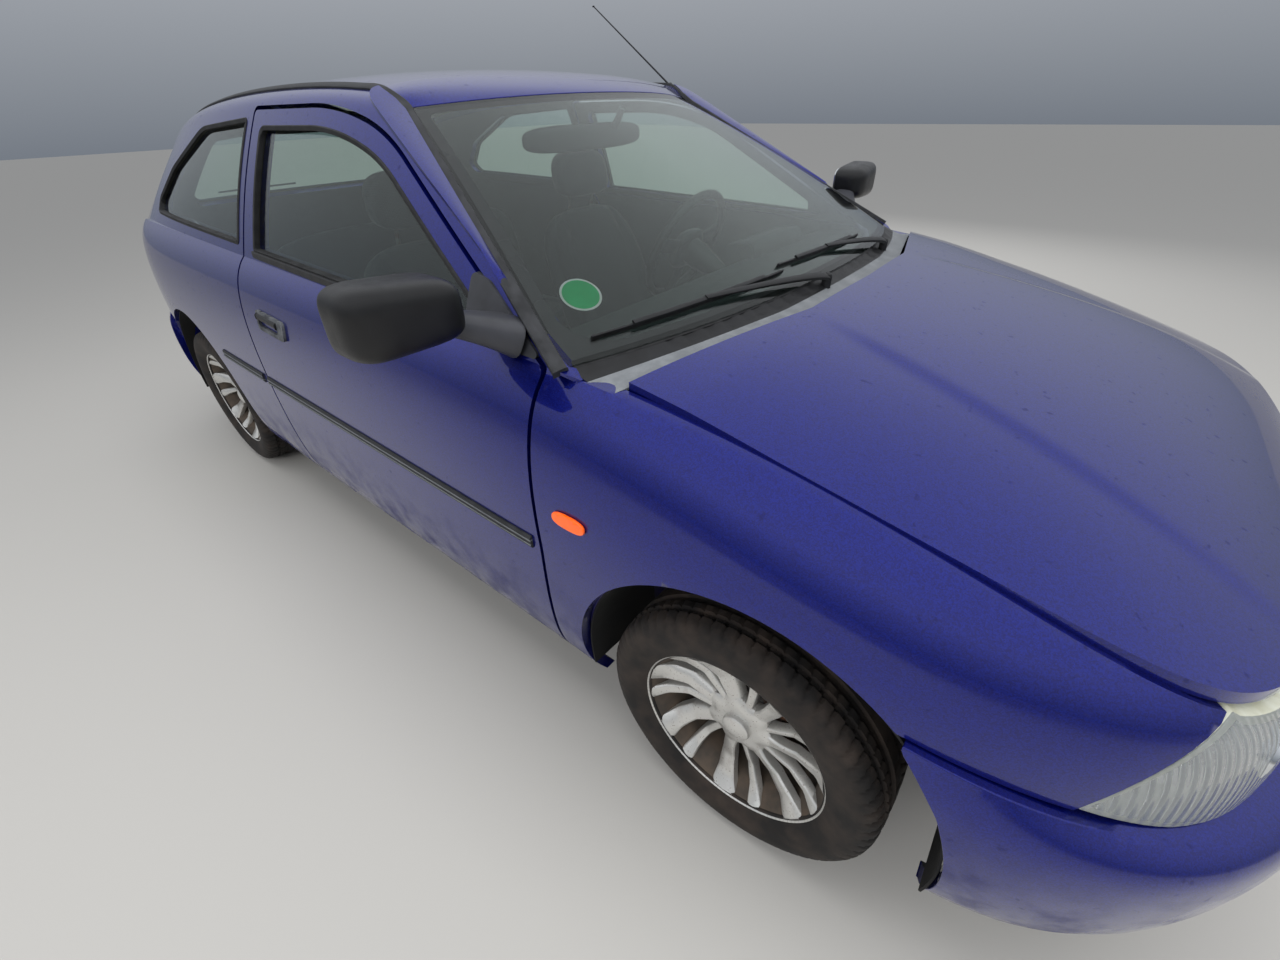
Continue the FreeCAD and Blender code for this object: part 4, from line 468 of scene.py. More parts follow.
def arc(x, start, stop, radius=ARCH_RADIUS, count=40):
    """Part of a wheel opening's edge in the side view, between two angles in degrees."""
    angle = np.radians(np.linspace(start, stop, count))
    return joined(x + ARCH_X + radius * np.cos(angle), ARCH_Z + radius * np.sin(angle))


def inside(points, loops):
    """Which points lie inside an odd number of closed lines, by counting the sides to their right."""
    hit = np.zeros(len(points), bool)
    for loop in loops:
        a, b = loop, np.roll(loop, -1, axis=0)
        for start in range(0, len(points), 4000):
            x, y = points[start:start + 4000, :1], points[start:start + 4000, 1:2]
            spans = (a[:, 1] > y) != (b[:, 1] > y)
            slope = (b[:, 0] - a[:, 0]) / np.where(b[:, 1] == a[:, 1], 1e-9, b[:, 1] - a[:, 1])
            hit[start:start + 4000] ^= (spans & (x < a[:, 0] + slope * (y - a[:, 1]))).sum(axis=1) % 2 == 1
    return hit


def far_from(points, loops, gap):
    """Which points lie farther than gap from every point of the lines."""
    near = np.concatenate(loops)
    keep = np.ones(len(points), bool)
    for start in range(0, len(points), 2000):
        part = points[start:start + 2000]
        keep[start:start + 2000] = (((part[:, None] - near[None]) ** 2).sum(axis=2).min(axis=1)) > gap * gap
    return keep


def region(loops, step):
    """Triangles within closed lines: their points and a staggered net, joined by Delaunay's rule."""
    low, high = np.concatenate(loops).min(axis=0), np.concatenate(loops).max(axis=0)
    xs, ys = np.arange(low[0], high[0], step), np.arange(low[1], high[1], step * 0.87)
    net = joined(xs[None, :] + (np.arange(len(ys))[:, None] % 2) * step / 2, ys[:, None]).reshape(-1, 2)
    net = net[inside(net, loops)]
    net = net[far_from(net, loops, step * 0.55)] if len(net) else net
    points, edges = np.concatenate(loops + [net]), []
    start = 0
    for loop in loops:
        ring = np.arange(start, start + len(loop))
        edges += np.stack((ring, np.roll(ring, -1)), axis=1).tolist()
        start += len(loop)
    out = delaunay_2d_cdt(points.tolist(), edges, [], 0, 1e-4)
    points = np.array([tuple(p) for p in out[0]])
    triangles = np.array(out[2])
    return points, triangles[inside(points[triangles].mean(axis=1), loops)]


# Meshes


def piece(name, shell, body, looks, replaces=None, bevel=0.0, angle=40):
    """A mesh object from a shell in millimetres, riding on a body. The shell's tags choose among its looks."""
    points, faces, tags = shell
    mesh = bpy.data.meshes.new(name)
    mesh.from_pydata((points * MM).tolist(), [], faces)
    mesh.update()
    mesh.shade_smooth()
    mesh.set_sharp_from_angle(angle=math.radians(SHARP_DEGREES))
    for look in looks.split():
        mesh.materials.append(finish(look))
    if len(mesh.materials) > 1:
        mesh.polygons.foreach_set("material_index", np.asarray(tags, dtype=np.int32))
    obj = bpy.data.objects.new(name, mesh)
    bpy.context.scene.collection.objects.link(obj)
    if bevel:
        edge = obj.modifiers.new("edges", "BEVEL")
        edge.width, edge.segments = bevel * MM, 2
        edge.limit_method, edge.angle_limit = "ANGLE", math.radians(angle)
        edge.harden_normals = True
    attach(obj, body)
    if replaces:
        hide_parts(replaces)
    return obj


def outward(points, faces):
    """The faces of a closed shell, turned over if they enclose a negative volume."""
    points = np.asarray(points)
    flat = np.array([(f[0], f[i], f[i + 1]) for f in faces for i in range(1, len(f) - 1)])
    a, b, c = points[flat[:, 0]], points[flat[:, 1]], points[flat[:, 2]]
    return faces if np.einsum("ij,ij->", a, np.cross(b, c)) > 0 else [list(f)[::-1] for f in faces]


def plate(lift, loops, step, outer, inner):
    """A thick panel: a region lifted to two depths, with walls between. Tags: 0 outside, 1 inside, 2 wall."""
    flat, triangles = region([np.asarray(loop, float) for loop in loops], step)
    points = np.concatenate((lift(flat, outer), lift(flat, inner)))
    count = len(flat)
    sides = np.concatenate((triangles[:, [0, 1]], triangles[:, [1, 2]], triangles[:, [2, 0]]))
    code = sides[:, 0] * count + sides[:, 1]
    rim = sides[~np.isin(code, sides[:, 1] * count + sides[:, 0])]
    walls = np.stack((rim[:, 1], rim[:, 0], rim[:, 0] + count, rim[:, 1] + count), axis=1)
    faces = triangles.tolist() + (triangles[:, ::-1] + count).tolist() + walls.tolist()
    tags = [0] * len(triangles) + [1] * len(triangles) + [2] * len(walls)
    return points, outward(points, faces), tags


def merged(*shells):
    """Several shells of points, faces and tags as one."""
    points, faces, tags, start = [], [], [], 0
    for shell_points, shell_faces, shell_tags in shells:
        points.append(np.asarray(shell_points))
        faces += [[i + start for i in face] for face in shell_faces]
        tags += list(shell_tags)
        start += len(shell_points)
    return np.concatenate(points), faces, tags


def net_faces(rows, columns, wrap_rows=False, wrap_columns=False):
    """Quads of a net of rows and columns, joined round where it wraps."""
    i = np.arange(rows if wrap_rows else rows - 1)[:, None]
    j = np.arange(columns if wrap_columns else columns - 1)[None, :]
    after_i, after_j = (i + 1) % rows, (j + 1) % columns
    quads = np.stack(np.broadcast_arrays(
        i * columns + j, after_i * columns + j, after_i * columns + after_j, i * columns + after_j), axis=-1)
    return quads.reshape(-1, 4).tolist()


def sheet(grid, thickness):
    """A net of points (rows, columns, 3) made thick along its own normals, closed round its rim."""
    rows, columns = grid.shape[:2]
    along, across = np.gradient(grid, axis=0), np.gradient(grid, axis=1)
    normal = np.cross(along, across)
    normal /= np.maximum(np.linalg.norm(normal, axis=2, keepdims=True), 1e-9)
    points = np.concatenate((grid.reshape(-1, 3), (grid - normal * thickness).reshape(-1, 3)))
    top = net_faces(rows, columns)
    count = rows * columns
    rim = [j for j in range(columns)] + [i * columns + columns - 1 for i in range(1, rows)]
    rim += [count - 1 - j for j in range(1, columns)] + [i * columns for i in range(rows - 2, 0, -1)]
    walls = [[rim[k - 1], rim[k], rim[k] + count, rim[k - 1] + count] for k in range(len(rim))]
    faces = top + [[i + count for i in face[::-1]] for face in top] + walls
    return points, outward(points, faces), [0] * len(top) + [1] * len(top) + [2] * len(walls)


def skin_over(grid, thickness):
    """A sheet whose thickness goes down from the net."""
    shell = sheet(grid, thickness)
    half = len(shell[0]) // 2
    return shell if shell[0][half:, 2].mean() <= shell[0][:half, 2].mean() else sheet(grid[:, ::-1], thickness)


def carried(path, profile, up=(0, 0, 1), closed=False, scale=None):
    """A closed profile of pairs (across, up) carried along a path. Across is the path's way times up."""
    path = np.asarray(path, float)
    if closed:
        way = np.roll(path, -1, axis=0) - np.roll(path, 1, axis=0)
    else:
        way = np.gradient(path, axis=0)
    way /= np.linalg.norm(way, axis=1, keepdims=True)
    up = np.broadcast_to(np.asarray(up, float), path.shape)
    across = np.cross(way, up)
    across /= np.linalg.norm(across, axis=1, keepdims=True)
    lifted = np.cross(across, way)
    profile = np.asarray(profile, float)
    size = np.ones(len(path)) if scale is None else np.asarray(scale, float)
    points = path[:, None] + size[:, None, None] * (
        across[:, None] * profile[None, :, :1] + lifted[:, None] * profile[None, :, 1:])
    count = len(profile)
    faces = net_faces(len(path), count, closed, True)
    if not closed:
        faces += [list(range(count))[::-1], [len(path) * count - count + k for k in range(count)]]
    points = points.reshape(-1, 3)
    return points, outward(points, faces), [0] * len(faces)


def ring(radius_a, radius_b=None, count=12, power=2.0):
    """A closed oval profile; a power over 2 makes it squarer."""
    angle = np.linspace(0, 2 * math.pi, count, endpoint=False)
    cos, sin = np.cos(angle), np.sin(angle)
    radius_b = radius_a if radius_b is None else radius_b
    share = 2 / power
    return joined(radius_a * np.sign(cos) * np.abs(cos) ** share,
                  radius_b * np.sign(sin) * np.abs(sin) ** share)


def turned(profile, axis_point, count=64, axis=1, closed=False, tag=0):
    """A profile of pairs (along the axis, radius) turned about an axis through a point, closed at its ends."""
    profile = np.asarray(profile, float)
    angle = np.linspace(0, 2 * math.pi, count, endpoint=False)[:, None]
    along, radius = profile[None, :, 0], profile[None, :, 1]
    a, b = radius * np.cos(angle), radius * np.sin(angle)
    along = np.broadcast_to(along, a.shape)
    order = {0: (along, a, b), 1: (a, along, b), 2: (a, b, along)}[axis]
    points = joined(*order).reshape(-1, 3) + np.asarray(axis_point, float)
    faces = net_faces(count, len(profile), True, closed)
    if not closed:
        last = len(profile) - 1
        faces += [[i * len(profile) for i in range(count)][::-1],
                  [i * len(profile) + last for i in range(count)]]
    return points, outward(points, faces), [tag] * len(faces)


def pillow(centre, halves, power=4.0, rows=24, columns=40, squeeze=None):
    """A closed rounded box: a sphere's directions stretched, each sine and cosine to a low power."""
    theta = np.linspace(-math.pi / 2, math.pi / 2, rows)[:, None]
    phi = np.linspace(0, 2 * math.pi, columns, endpoint=False)[None, :]

    def soft(value):
        """A value to the low power, with its sign kept."""
        return np.sign(value) * np.abs(value) ** (2 / power)

    x, y = soft(np.cos(theta)) * soft(np.cos(phi)), soft(np.cos(theta)) * soft(np.sin(phi))
    z = np.broadcast_to(soft(np.sin(theta)), x.shape)
    grid = joined(x * halves[0], y * halves[1], z * halves[2])
    if squeeze:
        grid = squeeze(grid)
    points = grid.reshape(-1, 3) + np.asarray(centre, float)
    faces = net_faces(rows, columns, False, True)
    return points, outward(points, faces), [0] * len(faces)


# Materials


def linear(text):
    """An sRGB hex colour as linear red, green and blue with full alpha."""
    values = [int(text[i:i + 2], 16) / 255 for i in (1, 3, 5)]
    return tuple(v / 12.92 if v <= 0.04045 else ((v + 0.055) / 1.055) ** 2.4 for v in values) + (1.0,)


def add(tree, kind, inputs=None, **settings):
    """A node with its settings, and its inputs given as values or as other nodes' outputs."""
    node = tree.nodes.new(kind)
    for key, value in settings.items():
        setattr(node, key, value)
    for key, value in (inputs or {}).items():
        if isinstance(value, bpy.types.NodeSocket):
            tree.links.new(value, node.inputs[key])
        else:
            node.inputs[key].default_value = value
    return node


def started(name, base, roughness, **more):
    """A material with its shader, and the piece's own coordinates in metres."""
    material = bpy.data.materials.new(name)
    material.use_nodes = True
    tree = material.node_tree
    shader = tree.nodes["Principled BSDF"]
    shader.inputs["Base Color"].default_value = linear(base)
    shader.inputs["Roughness"].default_value = roughness
    for key, value in more.items():
        shader.inputs[key.replace("_", " ")].default_value = value
    place = add(tree, "ShaderNodeTexCoord").outputs["Object"]
    return material, tree, shader, place


def grain(tree, place, millimetres, detail=3.0, roughness=0.55):
    """Noise whose grains are about that many millimetres across."""
    return add(tree, "ShaderNodeTexNoise", {
        "Vector": place, "Scale": 1000.0 / millimetres, "Detail": detail, "Roughness": roughness,
    }).outputs["Fac"]


def ramp(tree, value, low, high, first, last):
    """A value remapped and clamped."""
    return add(tree, "ShaderNodeMapRange", {
        "Value": value, "From Min": low, "From Max": high, "To Min": first, "To Max": last}).outputs["Result"]


def mixed(tree, factor, first, last):
    """A mix of two colours by a factor."""
    node = add(tree, "ShaderNodeMix", data_type="RGBA")
    for index, value in ((0, factor), (6, first), (7, last)):
        if isinstance(value, bpy.types.NodeSocket):
            tree.links.new(value, node.inputs[index])
        else:
            node.inputs[index].default_value = linear(value) if isinstance(value, str) else value
    return node.outputs[2]


def bumped(tree, shader, height, depth_mm, strength=1.0):
    """Bump of a depth in millimetres on a shader."""
    bump = add(tree, "ShaderNodeBump", {"Height": height, "Distance": depth_mm * MM, "Strength": strength})
    tree.links.new(bump.outputs["Normal"], shader.inputs["Normal"])


def speckled(name, first, last, roughness, rough_spread, spot_mm, bump_mm=0.0, **more):
    """A plain finish with its usual small change of colour and gloss, and a fine bump."""
    material, tree, shader, place = started(name, first, roughness, **more)
    noise = grain(tree, place, spot_mm)
    colour = mixed(tree, ramp(tree, noise, 0.35, 0.65, 0.0, 1.0), first, last)
    tree.links.new(colour, shader.inputs["Base Color"])
    low, high = roughness - rough_spread, roughness + rough_spread
    spread = ramp(tree, grain(tree, place, spot_mm * 3), 0.3, 0.7, low, high)
    tree.links.new(spread, shader.inputs["Roughness"])
    if bump_mm:
        bumped(tree, shader, noise, bump_mm)
    return material


def car_paint(colour, light, dust):
    """Metallic basecoat under lacquer, sprayed and baked: hard clear gloss over flakes, dusty at the sills."""
    material, tree, shader, place = started(
        "metallic_basecoat_lacquer", colour, 0.34, Metallic=0.85, Coat_Weight=1.0, Coat_Roughness=0.02)
    flakes = add(tree, "ShaderNodeTexVoronoi", {"Vector": place, "Scale": 1000 / 1.6}).outputs["Color"]
    flake = add(tree, "ShaderNodeSeparateColor", {"Color": flakes}).outputs["Red"]
    shade = mixed(tree, ramp(tree, flake, 0, 1, 0, 0.35), colour, light)
    height = add(tree, "ShaderNodeSeparateXYZ", {"Vector": place}).outputs["Z"]
    low = ramp(tree, height, 0.20, 0.52, 1.0, 0.0)
    film = ramp(tree, grain(tree, place, 70, 6.0, 0.65), 0.42, 0.72, 0.0, 1.0)
    dirt = add(tree, "ShaderNodeMath", {0: low, 1: film}, operation="MULTIPLY").outputs[0]
    specks = ramp(tree, grain(tree, place, 14, 1.0), 0.70, 0.76, 0.0, 0.35)
    dirt = add(tree, "ShaderNodeMath", {0: dirt, 1: specks}, operation="MAXIMUM").outputs[0]
    dirt = add(tree, "ShaderNodeMath", {0: dirt, 1: 0.55}, operation="MULTIPLY").outputs[0]
    tree.links.new(mixed(tree, dirt, shade, dust), shader.inputs["Base Color"])
    tree.links.new(ramp(tree, dirt, 0, 0.5, 0.36, 0.75), shader.inputs["Roughness"])
    tree.links.new(ramp(tree, dirt, 0, 0.4, 1.0, 0.15), shader.inputs["Coat Weight"])
    return material


def glazing(name, tint):
    """Float glass, toughened and bent: clear with a faint green tint, glossy on both faces."""
    material, tree, shader, place = started(name, tint, 0.0, Transmission_Weight=1.0, IOR=1.45)
    smear = ramp(tree, grain(tree, place, 60, 4.0), 0.45, 0.75, 0.0, 0.01)
    tree.links.new(smear, shader.inputs["Roughness"])
    return material


def fluted(name, tint, pitch_mm, axis):
    """Pressed lamp glass with upright flutes, drawn at their real pitch."""
    material, tree, shader, place = started(name, tint, 0.04, Transmission_Weight=0.85, IOR=1.5)
    lane = add(tree, "ShaderNodeSeparateXYZ", {"Vector": place}).outputs[axis]
    turns = 2 * math.pi * 1000 / pitch_mm
    wave = add(tree, "ShaderNodeMath", {0: lane, 1: turns}, operation="MULTIPLY").outputs[0]
    wave = add(tree, "ShaderNodeMath", {0: wave}, operation="SINE").outputs[0]
    bumped(tree, shader, wave, 1.2, 0.6)
    return material


def tyre_rubber():
    """Moulded rubber, browned with road dust in its tread and on its walls."""
    material, tree, shader, place = started("moulded_tyre_rubber", "#151414", 0.8)
    dust = ramp(tree, grain(tree, place, 60, 5.0, 0.6), 0.40, 0.75, 0.0, 0.6)
    tree.links.new(mixed(tree, dust, "#161413", "#3d332c"), shader.inputs["Base Color"])
    bumped(tree, shader, grain(tree, place, 3.0), 0.2)
    return material


def cast_alloy():
    """Cast aluminium with silver lacquer, dulled by brown brake dust that gathers in hollows and specks."""
    material, tree, shader, place = started(
        "lacquered_cast_aluminium", "#b9bbbd", 0.36, Metallic=0.75, Coat_Weight=0.3)
    dust = ramp(tree, grain(tree, place, 30, 5.0, 0.6), 0.56, 0.80, 0.0, 0.45)
    specks = ramp(tree, grain(tree, place, 4.0, 2.0), 0.64, 0.72, 0.0, 0.8)
    dirt = add(tree, "ShaderNodeMath", {0: dust, 1: specks}, operation="MAXIMUM").outputs[0]
    tree.links.new(mixed(tree, dirt, "#d3d2ce", "#6b5546"), shader.inputs["Base Color"])
    tree.links.new(ramp(tree, dirt, 0, 1, 0.34, 0.72), shader.inputs["Roughness"])
    tree.links.new(ramp(tree, dirt, 0, 1, 0.8, 0.1), shader.inputs["Metallic"])
    return material


def woven(name, dark, pale, thread_mm):
    """Woven seat cloth: two threads crossing, soft and matt with a faint sheen."""
    material, tree, shader, place = started(name, dark, 0.92, Sheen_Weight=0.25, Sheen_Roughness=0.5)
    parts = add(tree, "ShaderNodeSeparateXYZ", {"Vector": place})
    waves = []
    for axis in ("X", "Y", "Z"):
        turns = 2 * math.pi * 1000 / thread_mm
        turn = add(tree, "ShaderNodeMath", {0: parts.outputs[axis], 1: turns}, operation="MULTIPLY")
        waves.append(add(tree, "ShaderNodeMath", {0: turn.outputs[0]}, operation="SINE").outputs[0])
    cross = add(tree, "ShaderNodeMath", {0: waves[0], 1: waves[1]}, operation="MULTIPLY").outputs[0]
    cross = add(tree, "ShaderNodeMath", {0: cross, 1: waves[2]}, operation="ADD").outputs[0]
    colour = mixed(tree, ramp(tree, cross, -1.2, 1.2, 0.0, 1.0), dark, pale)
    blotch = ramp(tree, grain(tree, place, 60, 3.0), 0.4, 0.7, 0.0, 0.35)
    tree.links.new(mixed(tree, blotch, colour, dark), shader.inputs["Base Color"])
    bumped(tree, shader, cross, 0.4, 0.5)
    return material


def moulded(name, dark, pale, roughness, grain_mm, wear=0.0):
    """Moulded plastic with a leather-like grain, greyed where sun and hands wear it."""
    material, tree, shader, place = started(name, dark, roughness)
    cells = add(tree, "ShaderNodeTexVoronoi", {"Vector": place, "Scale": 1000 / grain_mm}).outputs["Distance"]
    grey = ramp(tree, grain(tree, place, 35, 6.0, 0.65), 0.40, 0.72, 0.0, 0.35 + wear)
    tree.links.new(mixed(tree, grey, dark, pale), shader.inputs["Base Color"])
    tree.links.new(ramp(tree, grey, 0, 0.6, roughness, min(1.0, roughness + 0.25)), shader.inputs["Roughness"])
    bumped(tree, shader, cells, 0.15, 0.6)
    return material


def rusted(name, metal, rust, amount):
    """Cast or forged steel left bare under a car: grey scale with brown rust in patches."""
    material, tree, shader, place = started(name, metal, 0.6, Metallic=0.5)
    patches = ramp(tree, grain(tree, place, 18, 6.0, 0.7), 0.62 - amount * 0.3, 0.78 - amount * 0.3, 0.0, 1.0)
    tree.links.new(mixed(tree, patches, metal, rust), shader.inputs["Base Color"])
    tree.links.new(ramp(tree, patches, 0, 1, 0.55, 0.9), shader.inputs["Roughness"])
    tree.links.new(ramp(tree, patches, 0, 1, 0.6, 0.0), shader.inputs["Metallic"])
    bumped(tree, shader, patches, 0.4)
    return material


MAKERS = {
    "paint": lambda: car_paint("#090c68", "#1634bc", "#45424a"),
    "paint_inside": lambda: speckled("basecoat_without_lacquer", "#17134a", "#1d185c", 0.5, 0.1, 40),
    "glass": lambda: glazing("green_tinted_float_glass", "#dff0e8"),
    "rubber": lambda: speckled("extruded_seal_rubber", "#0d0d0e", "#1a1a1b", 0.62, 0.08, 18, 0.05),
    "moulding": lambda: moulded("weathered_side_moulding", "#17181a", "#3c3d40", 0.55, 2.2, 0.25),
    "border": lambda: speckled("printed_glass_border", "#3a383b", "#444245", 0.3, 0.05, 60),
    "sail": lambda: speckled("satin_grey_plastic", "#2a2b2e", "#34353a", 0.42, 0.05, 70),
    "black": lambda: moulded("grained_black_plastic", "#0c0c0d", "#26272a", 0.42, 1.6, 0.1),
    "shell": lambda: moulded("smooth_black_plastic", "#0b0b0c", "#1b1c1e", 0.34, 1.2, 0.0),
    "worn": lambda: moulded("worn_grey_plastic", "#26282b", "#6d7074", 0.6, 2.0, 0.45),
    "scuttle": lambda: moulded("sun_bleached_plastic", "#595c5f", "#74777a", 0.7, 2.5, 0.45),
    "trim": lambda: moulded("moulded_cabin_plastic", "#1f2125", "#2c2f34", 0.7, 1.8),
    "cloth": lambda: woven("woven_seat_cloth", "#15161a", "#2b2d36", 4.0),
    "alloy": cast_alloy,
    "tyre": tyre_rubber,
    # Inside of the wheel's barrel: brake dust, darkened further as painted shade in the hollow behind the
    # spokes.
    "barrel": lambda: speckled("barrel_dust_and_painted_shade", "#3b352f", "#4d4238", 0.75, 0.1, 30),
    "disc": lambda: rusted("turned_disc_iron", "#6b6a69", "#6b4630", 0.4),
    "cast": lambda: rusted("cast_iron_scale", "#3b3937", "#5a3a26", 0.6),
    "steel": lambda: rusted("pressed_exhaust_steel", "#77716a", "#6a4a34", 0.5),
    "underseal": lambda: speckled("sprayed_underseal", "#121214", "#29282a", 0.85, 0.08, 9, 0.5),
    "liner": lambda: moulded("dusty_moulded_liner", "#0e0e0f", "#2b2926", 0.8, 3.0, 0.1),
    "engine": lambda: rusted("cast_engine_metal", "#6d6d6e", "#3f3a35", 0.3),
    "reflector": lambda: speckled(
        "vacuum_chromed_plastic", "#dfe2e4", "#cfd3d6", 0.10, 0.04, 50, Metallic=1.0),
    "lamp_frame": lambda: speckled("aged_lamp_housing", "#c9cbbd", "#b3b39e", 0.4, 0.1, 30),
    "lamp_glass": lambda: fluted("fluted_lamp_glass", "#eef3f4", 9.0, "Y"),
    "amber": lambda: speckled("amber_lamp_acrylic", "#ff5a00", "#ff6405", 0.12, 0.03, 40, Coat_Weight=0.6),
    "red": lambda: fluted("red_lamp_acrylic", "#c00a10", 6.0, "Y"),
    "mirror": lambda: speckled("silvered_glass", "#e8ebec", "#dfe3e5", 0.03, 0.01, 60, Metallic=1.0),
    "sticker": lambda: speckled("printed_vinyl_green", "#14c074", "#12b46c", 0.35, 0.05, 30),
    "sticker_rim": lambda: speckled("printed_vinyl_white", "#eef1ee", "#e2e6e2", 0.35, 0.05, 30),
    "headlining": lambda: speckled("foam_backed_headlining", "#9b9c98", "#8b8c88", 0.95, 0.03, 6, 0.3),
    "blank_plate": lambda: speckled("blank_painted_plate", "#d9dad6", "#cfd0cb", 0.4, 0.05, 40),
}
made = {}


def finish(name):
    """A material by its short name, made once."""
    if name not in made:
        made[name] = MAKERS[name]()
    return made[name]


RIBBONS = {side: Ribbon(side) for name, side in SIDES}
HOUSES = {side: House(side) for name, side in SIDES}
DOOR_LINE = drawn(DOOR)
GAP_LINE = drawn(grown(DOOR, SHUT))
GATE_SIDE = divided([
    (GATE_HALF, 622), (GATE_HALF, 880), (575, 915), (612, 948), (600, 985), (512, 1205), (494, 1236),
])
PILLAR_REAR = divided([(-1380, 1262), (-1545, 1100), (-1690, 962), (-1706, 930)])


def belt(x):
    """The belt line, at the ribbon's upper edge."""
    return np.interp(x, RIBBON[:, 0], RIBBON[:, 4])


# Body side, doors, wings


def screen_line(side):
    """Where the glasshouse side meets the windscreen's surface, carried on, from the belt to the roof."""
    house = HOUSES[side]
    low, high, level = np.zeros(48), np.ones(48), np.linspace(0, 1, 48)
    poles, share = house.poles(0), np.linspace(-0.3, 1.3, 200)
    foot, head = np.array(SCREEN_FOOT), np.array(SCREEN_HEAD)
    edge = foot + (head - foot) * share[:, None]
    for _ in range(24):
        middle = (low + high) / 2
        here = surface(poles, middle, level)
        over = here[:, 2] > np.interp(here[:, 0], edge[::-1, 0], edge[::-1, 2]) + 6
        low, high = np.where(over, low, middle), np.where(over, middle, high)
    x = surface(poles, (low + high) / 2, level)[:, 0]
    return joined(x, level * house.WAY)


def frame_upper(side):
    """Pillars and cantrail, with the quarter window's opening."""
    house = HOUSES[side]
    upper = parts_by(GAP_LINE, house.belt)[1]
    front = screen_line(side)
    roof_x = np.arange(front[-1, 0] - 18, -1372, -18.0)
    roof = joined(roof_x, np.full(len(roof_x), house.WAY))
    slope = house.side_line(PILLAR_REAR)
    belt_x = np.arange(-1690, upper[-1, 0] - 12, 18.0)
    line = np.concatenate((front, roof, slope, joined(belt_x, 0), house.side_line(upper)[::-1]))
    points, faces, tags = plate(house.lift, [line, house.side_line(drawn(QUARTER))], 16, 0, 44)
    middle = np.array([points[face].mean(axis=0) for face in faces])
    inner_edge = house.lift(front, 22)
    near = np.sqrt(((middle[:, None] - inner_edge[None]) ** 2).sum(axis=2)).min(axis=1) < 9
    return points, faces, np.where(near & (np.array(tags) == 2), 1, tags).tolist()


def frame_lower(side):
    """Quarter panel and sill on the ribbon."""
    ribbon = RIBBONS[side]
    lower = parts_by(GAP_LINE, belt)[0]
    lower = lower[:int(np.argmax((lower[:, 0] > 699)))]
    sill = divided([(699, lower[-1, 1]), (699, SILL + 0.5), (REAR_AXLE + ARCH_X + 341, SILL + 0.5)])
    arch = arc(REAR_AXLE, -17.5, 155)
    corner = divided([arch[-1] + (-4, 6), (TAIL + 344, 594), (TAIL + 205, 614)])
    tail_s = ribbon.where(1, [GATE_HALF + SHUT] * 2, [618, 640], 0, 0.4)
    across = joined(tail_s, [618, 640])
    lamp = divided([(TAIL + 182, 640), (TAIL + 252, 880), (TAIL + 228, 934)])
    start = ribbon.side_line(np.concatenate((sill, arch, corner)))
    lamp_places = ribbon.side_line(lamp)
    bottom = divided([start[-1], across[0]], 20)[1:]
    under = divided([across[1], lamp_places[0]], 20)[:-1]
    top = ribbon.top_line(TAIL + 226, lower[0, 0] - 10)
    line = np.concatenate((start, bottom, under, lamp_places, top, ribbon.side_line(lower)))
    return plate(ribbon.lift, [line], 14, 0, 66)


def wing(side):
    """A front wing, from the door's edge to the headlamp."""
    ribbon = RIBBONS[side]
    lower = parts_by(GAP_LINE, belt)[0]
    edge = lower[(lower[:, 0] > 690) & (lower[:, 1] > 262)]
    start = divided(np.vstack(([(712, SILL + 0.5)], edge)))
    front = divided([(NOSE - 270, 706), (NOSE - 354, 545)])
    bumper = divided([(NOSE - 354, 545), (NOSE - 545, 579)])[1:]
    arch = arc(FRONT_AXLE, 49, 197.6)
    top = ribbon.top_line(start[-1, 0] + 8, NOSE - 276)
    rest = ribbon.side_line(np.concatenate((front[1:], bumper, arch)))
    line = np.concatenate((ribbon.side_line(start), top, rest))
    return plate(ribbon.lift, [line], 11, 0, 26)


def door_shell(side):
    """A door: its skin below the belt and the frame round its window."""
    ribbon, house = RIBBONS[side], HOUSES[side]
    lower = parts_by(DOOR_LINE, belt)[0]
    top = ribbon.top_line(lower[-1, 0] - 10, lower[0, 0] + 10)
    skin = plate(ribbon.lift, [np.concatenate((ribbon.side_line(lower), top))], 14, 0, 66)
    upper = parts_by(DOOR_LINE, house.belt)[1]
    x = np.arange(upper[-1, 0] + 12, upper[0, 0] - 12, 16.0)
    ring_line = np.concatenate((house.side_line(upper), joined(x, 0)))
    return merged(skin, plate(house.lift, [ring_line, house.side_line(drawn(DOOR_WINDOW))], 18, 0, 42))


SEAL = [(-5, -15), (-5, -1), (-3, 2.2), (6, 2.2), (7, -1), (7, -15)]


def seal_round(lift, line, inward=1):
    """A rubber seal that follows a window's edge, with its lip over the paint."""
    return strip(lift, line, [(across * inward, up) for across, up in SEAL], True)


def strip(lift, line, profile, closed=False):
    """A moulding whose profile (along the surface, out of it) follows a line of places on a skin."""
    path = lift(line, 0.0)
    out = path - lift(line, 5.0)
    out /= np.linalg.norm(out, axis=1, keepdims=True)
    return carried(path, profile, out, closed)


def bar_profile(wide, tall, sunk=2.0):
    """A low rounded bar's section, sunk a little below the surface it lies on."""
    half, chamfer, low = wide / 2, wide / 2 * 0.72, tall * 0.55
    return [(-half, -sunk), (-half, low), (-chamfer, tall), (chamfer, tall), (half, low), (half, -sunk)]


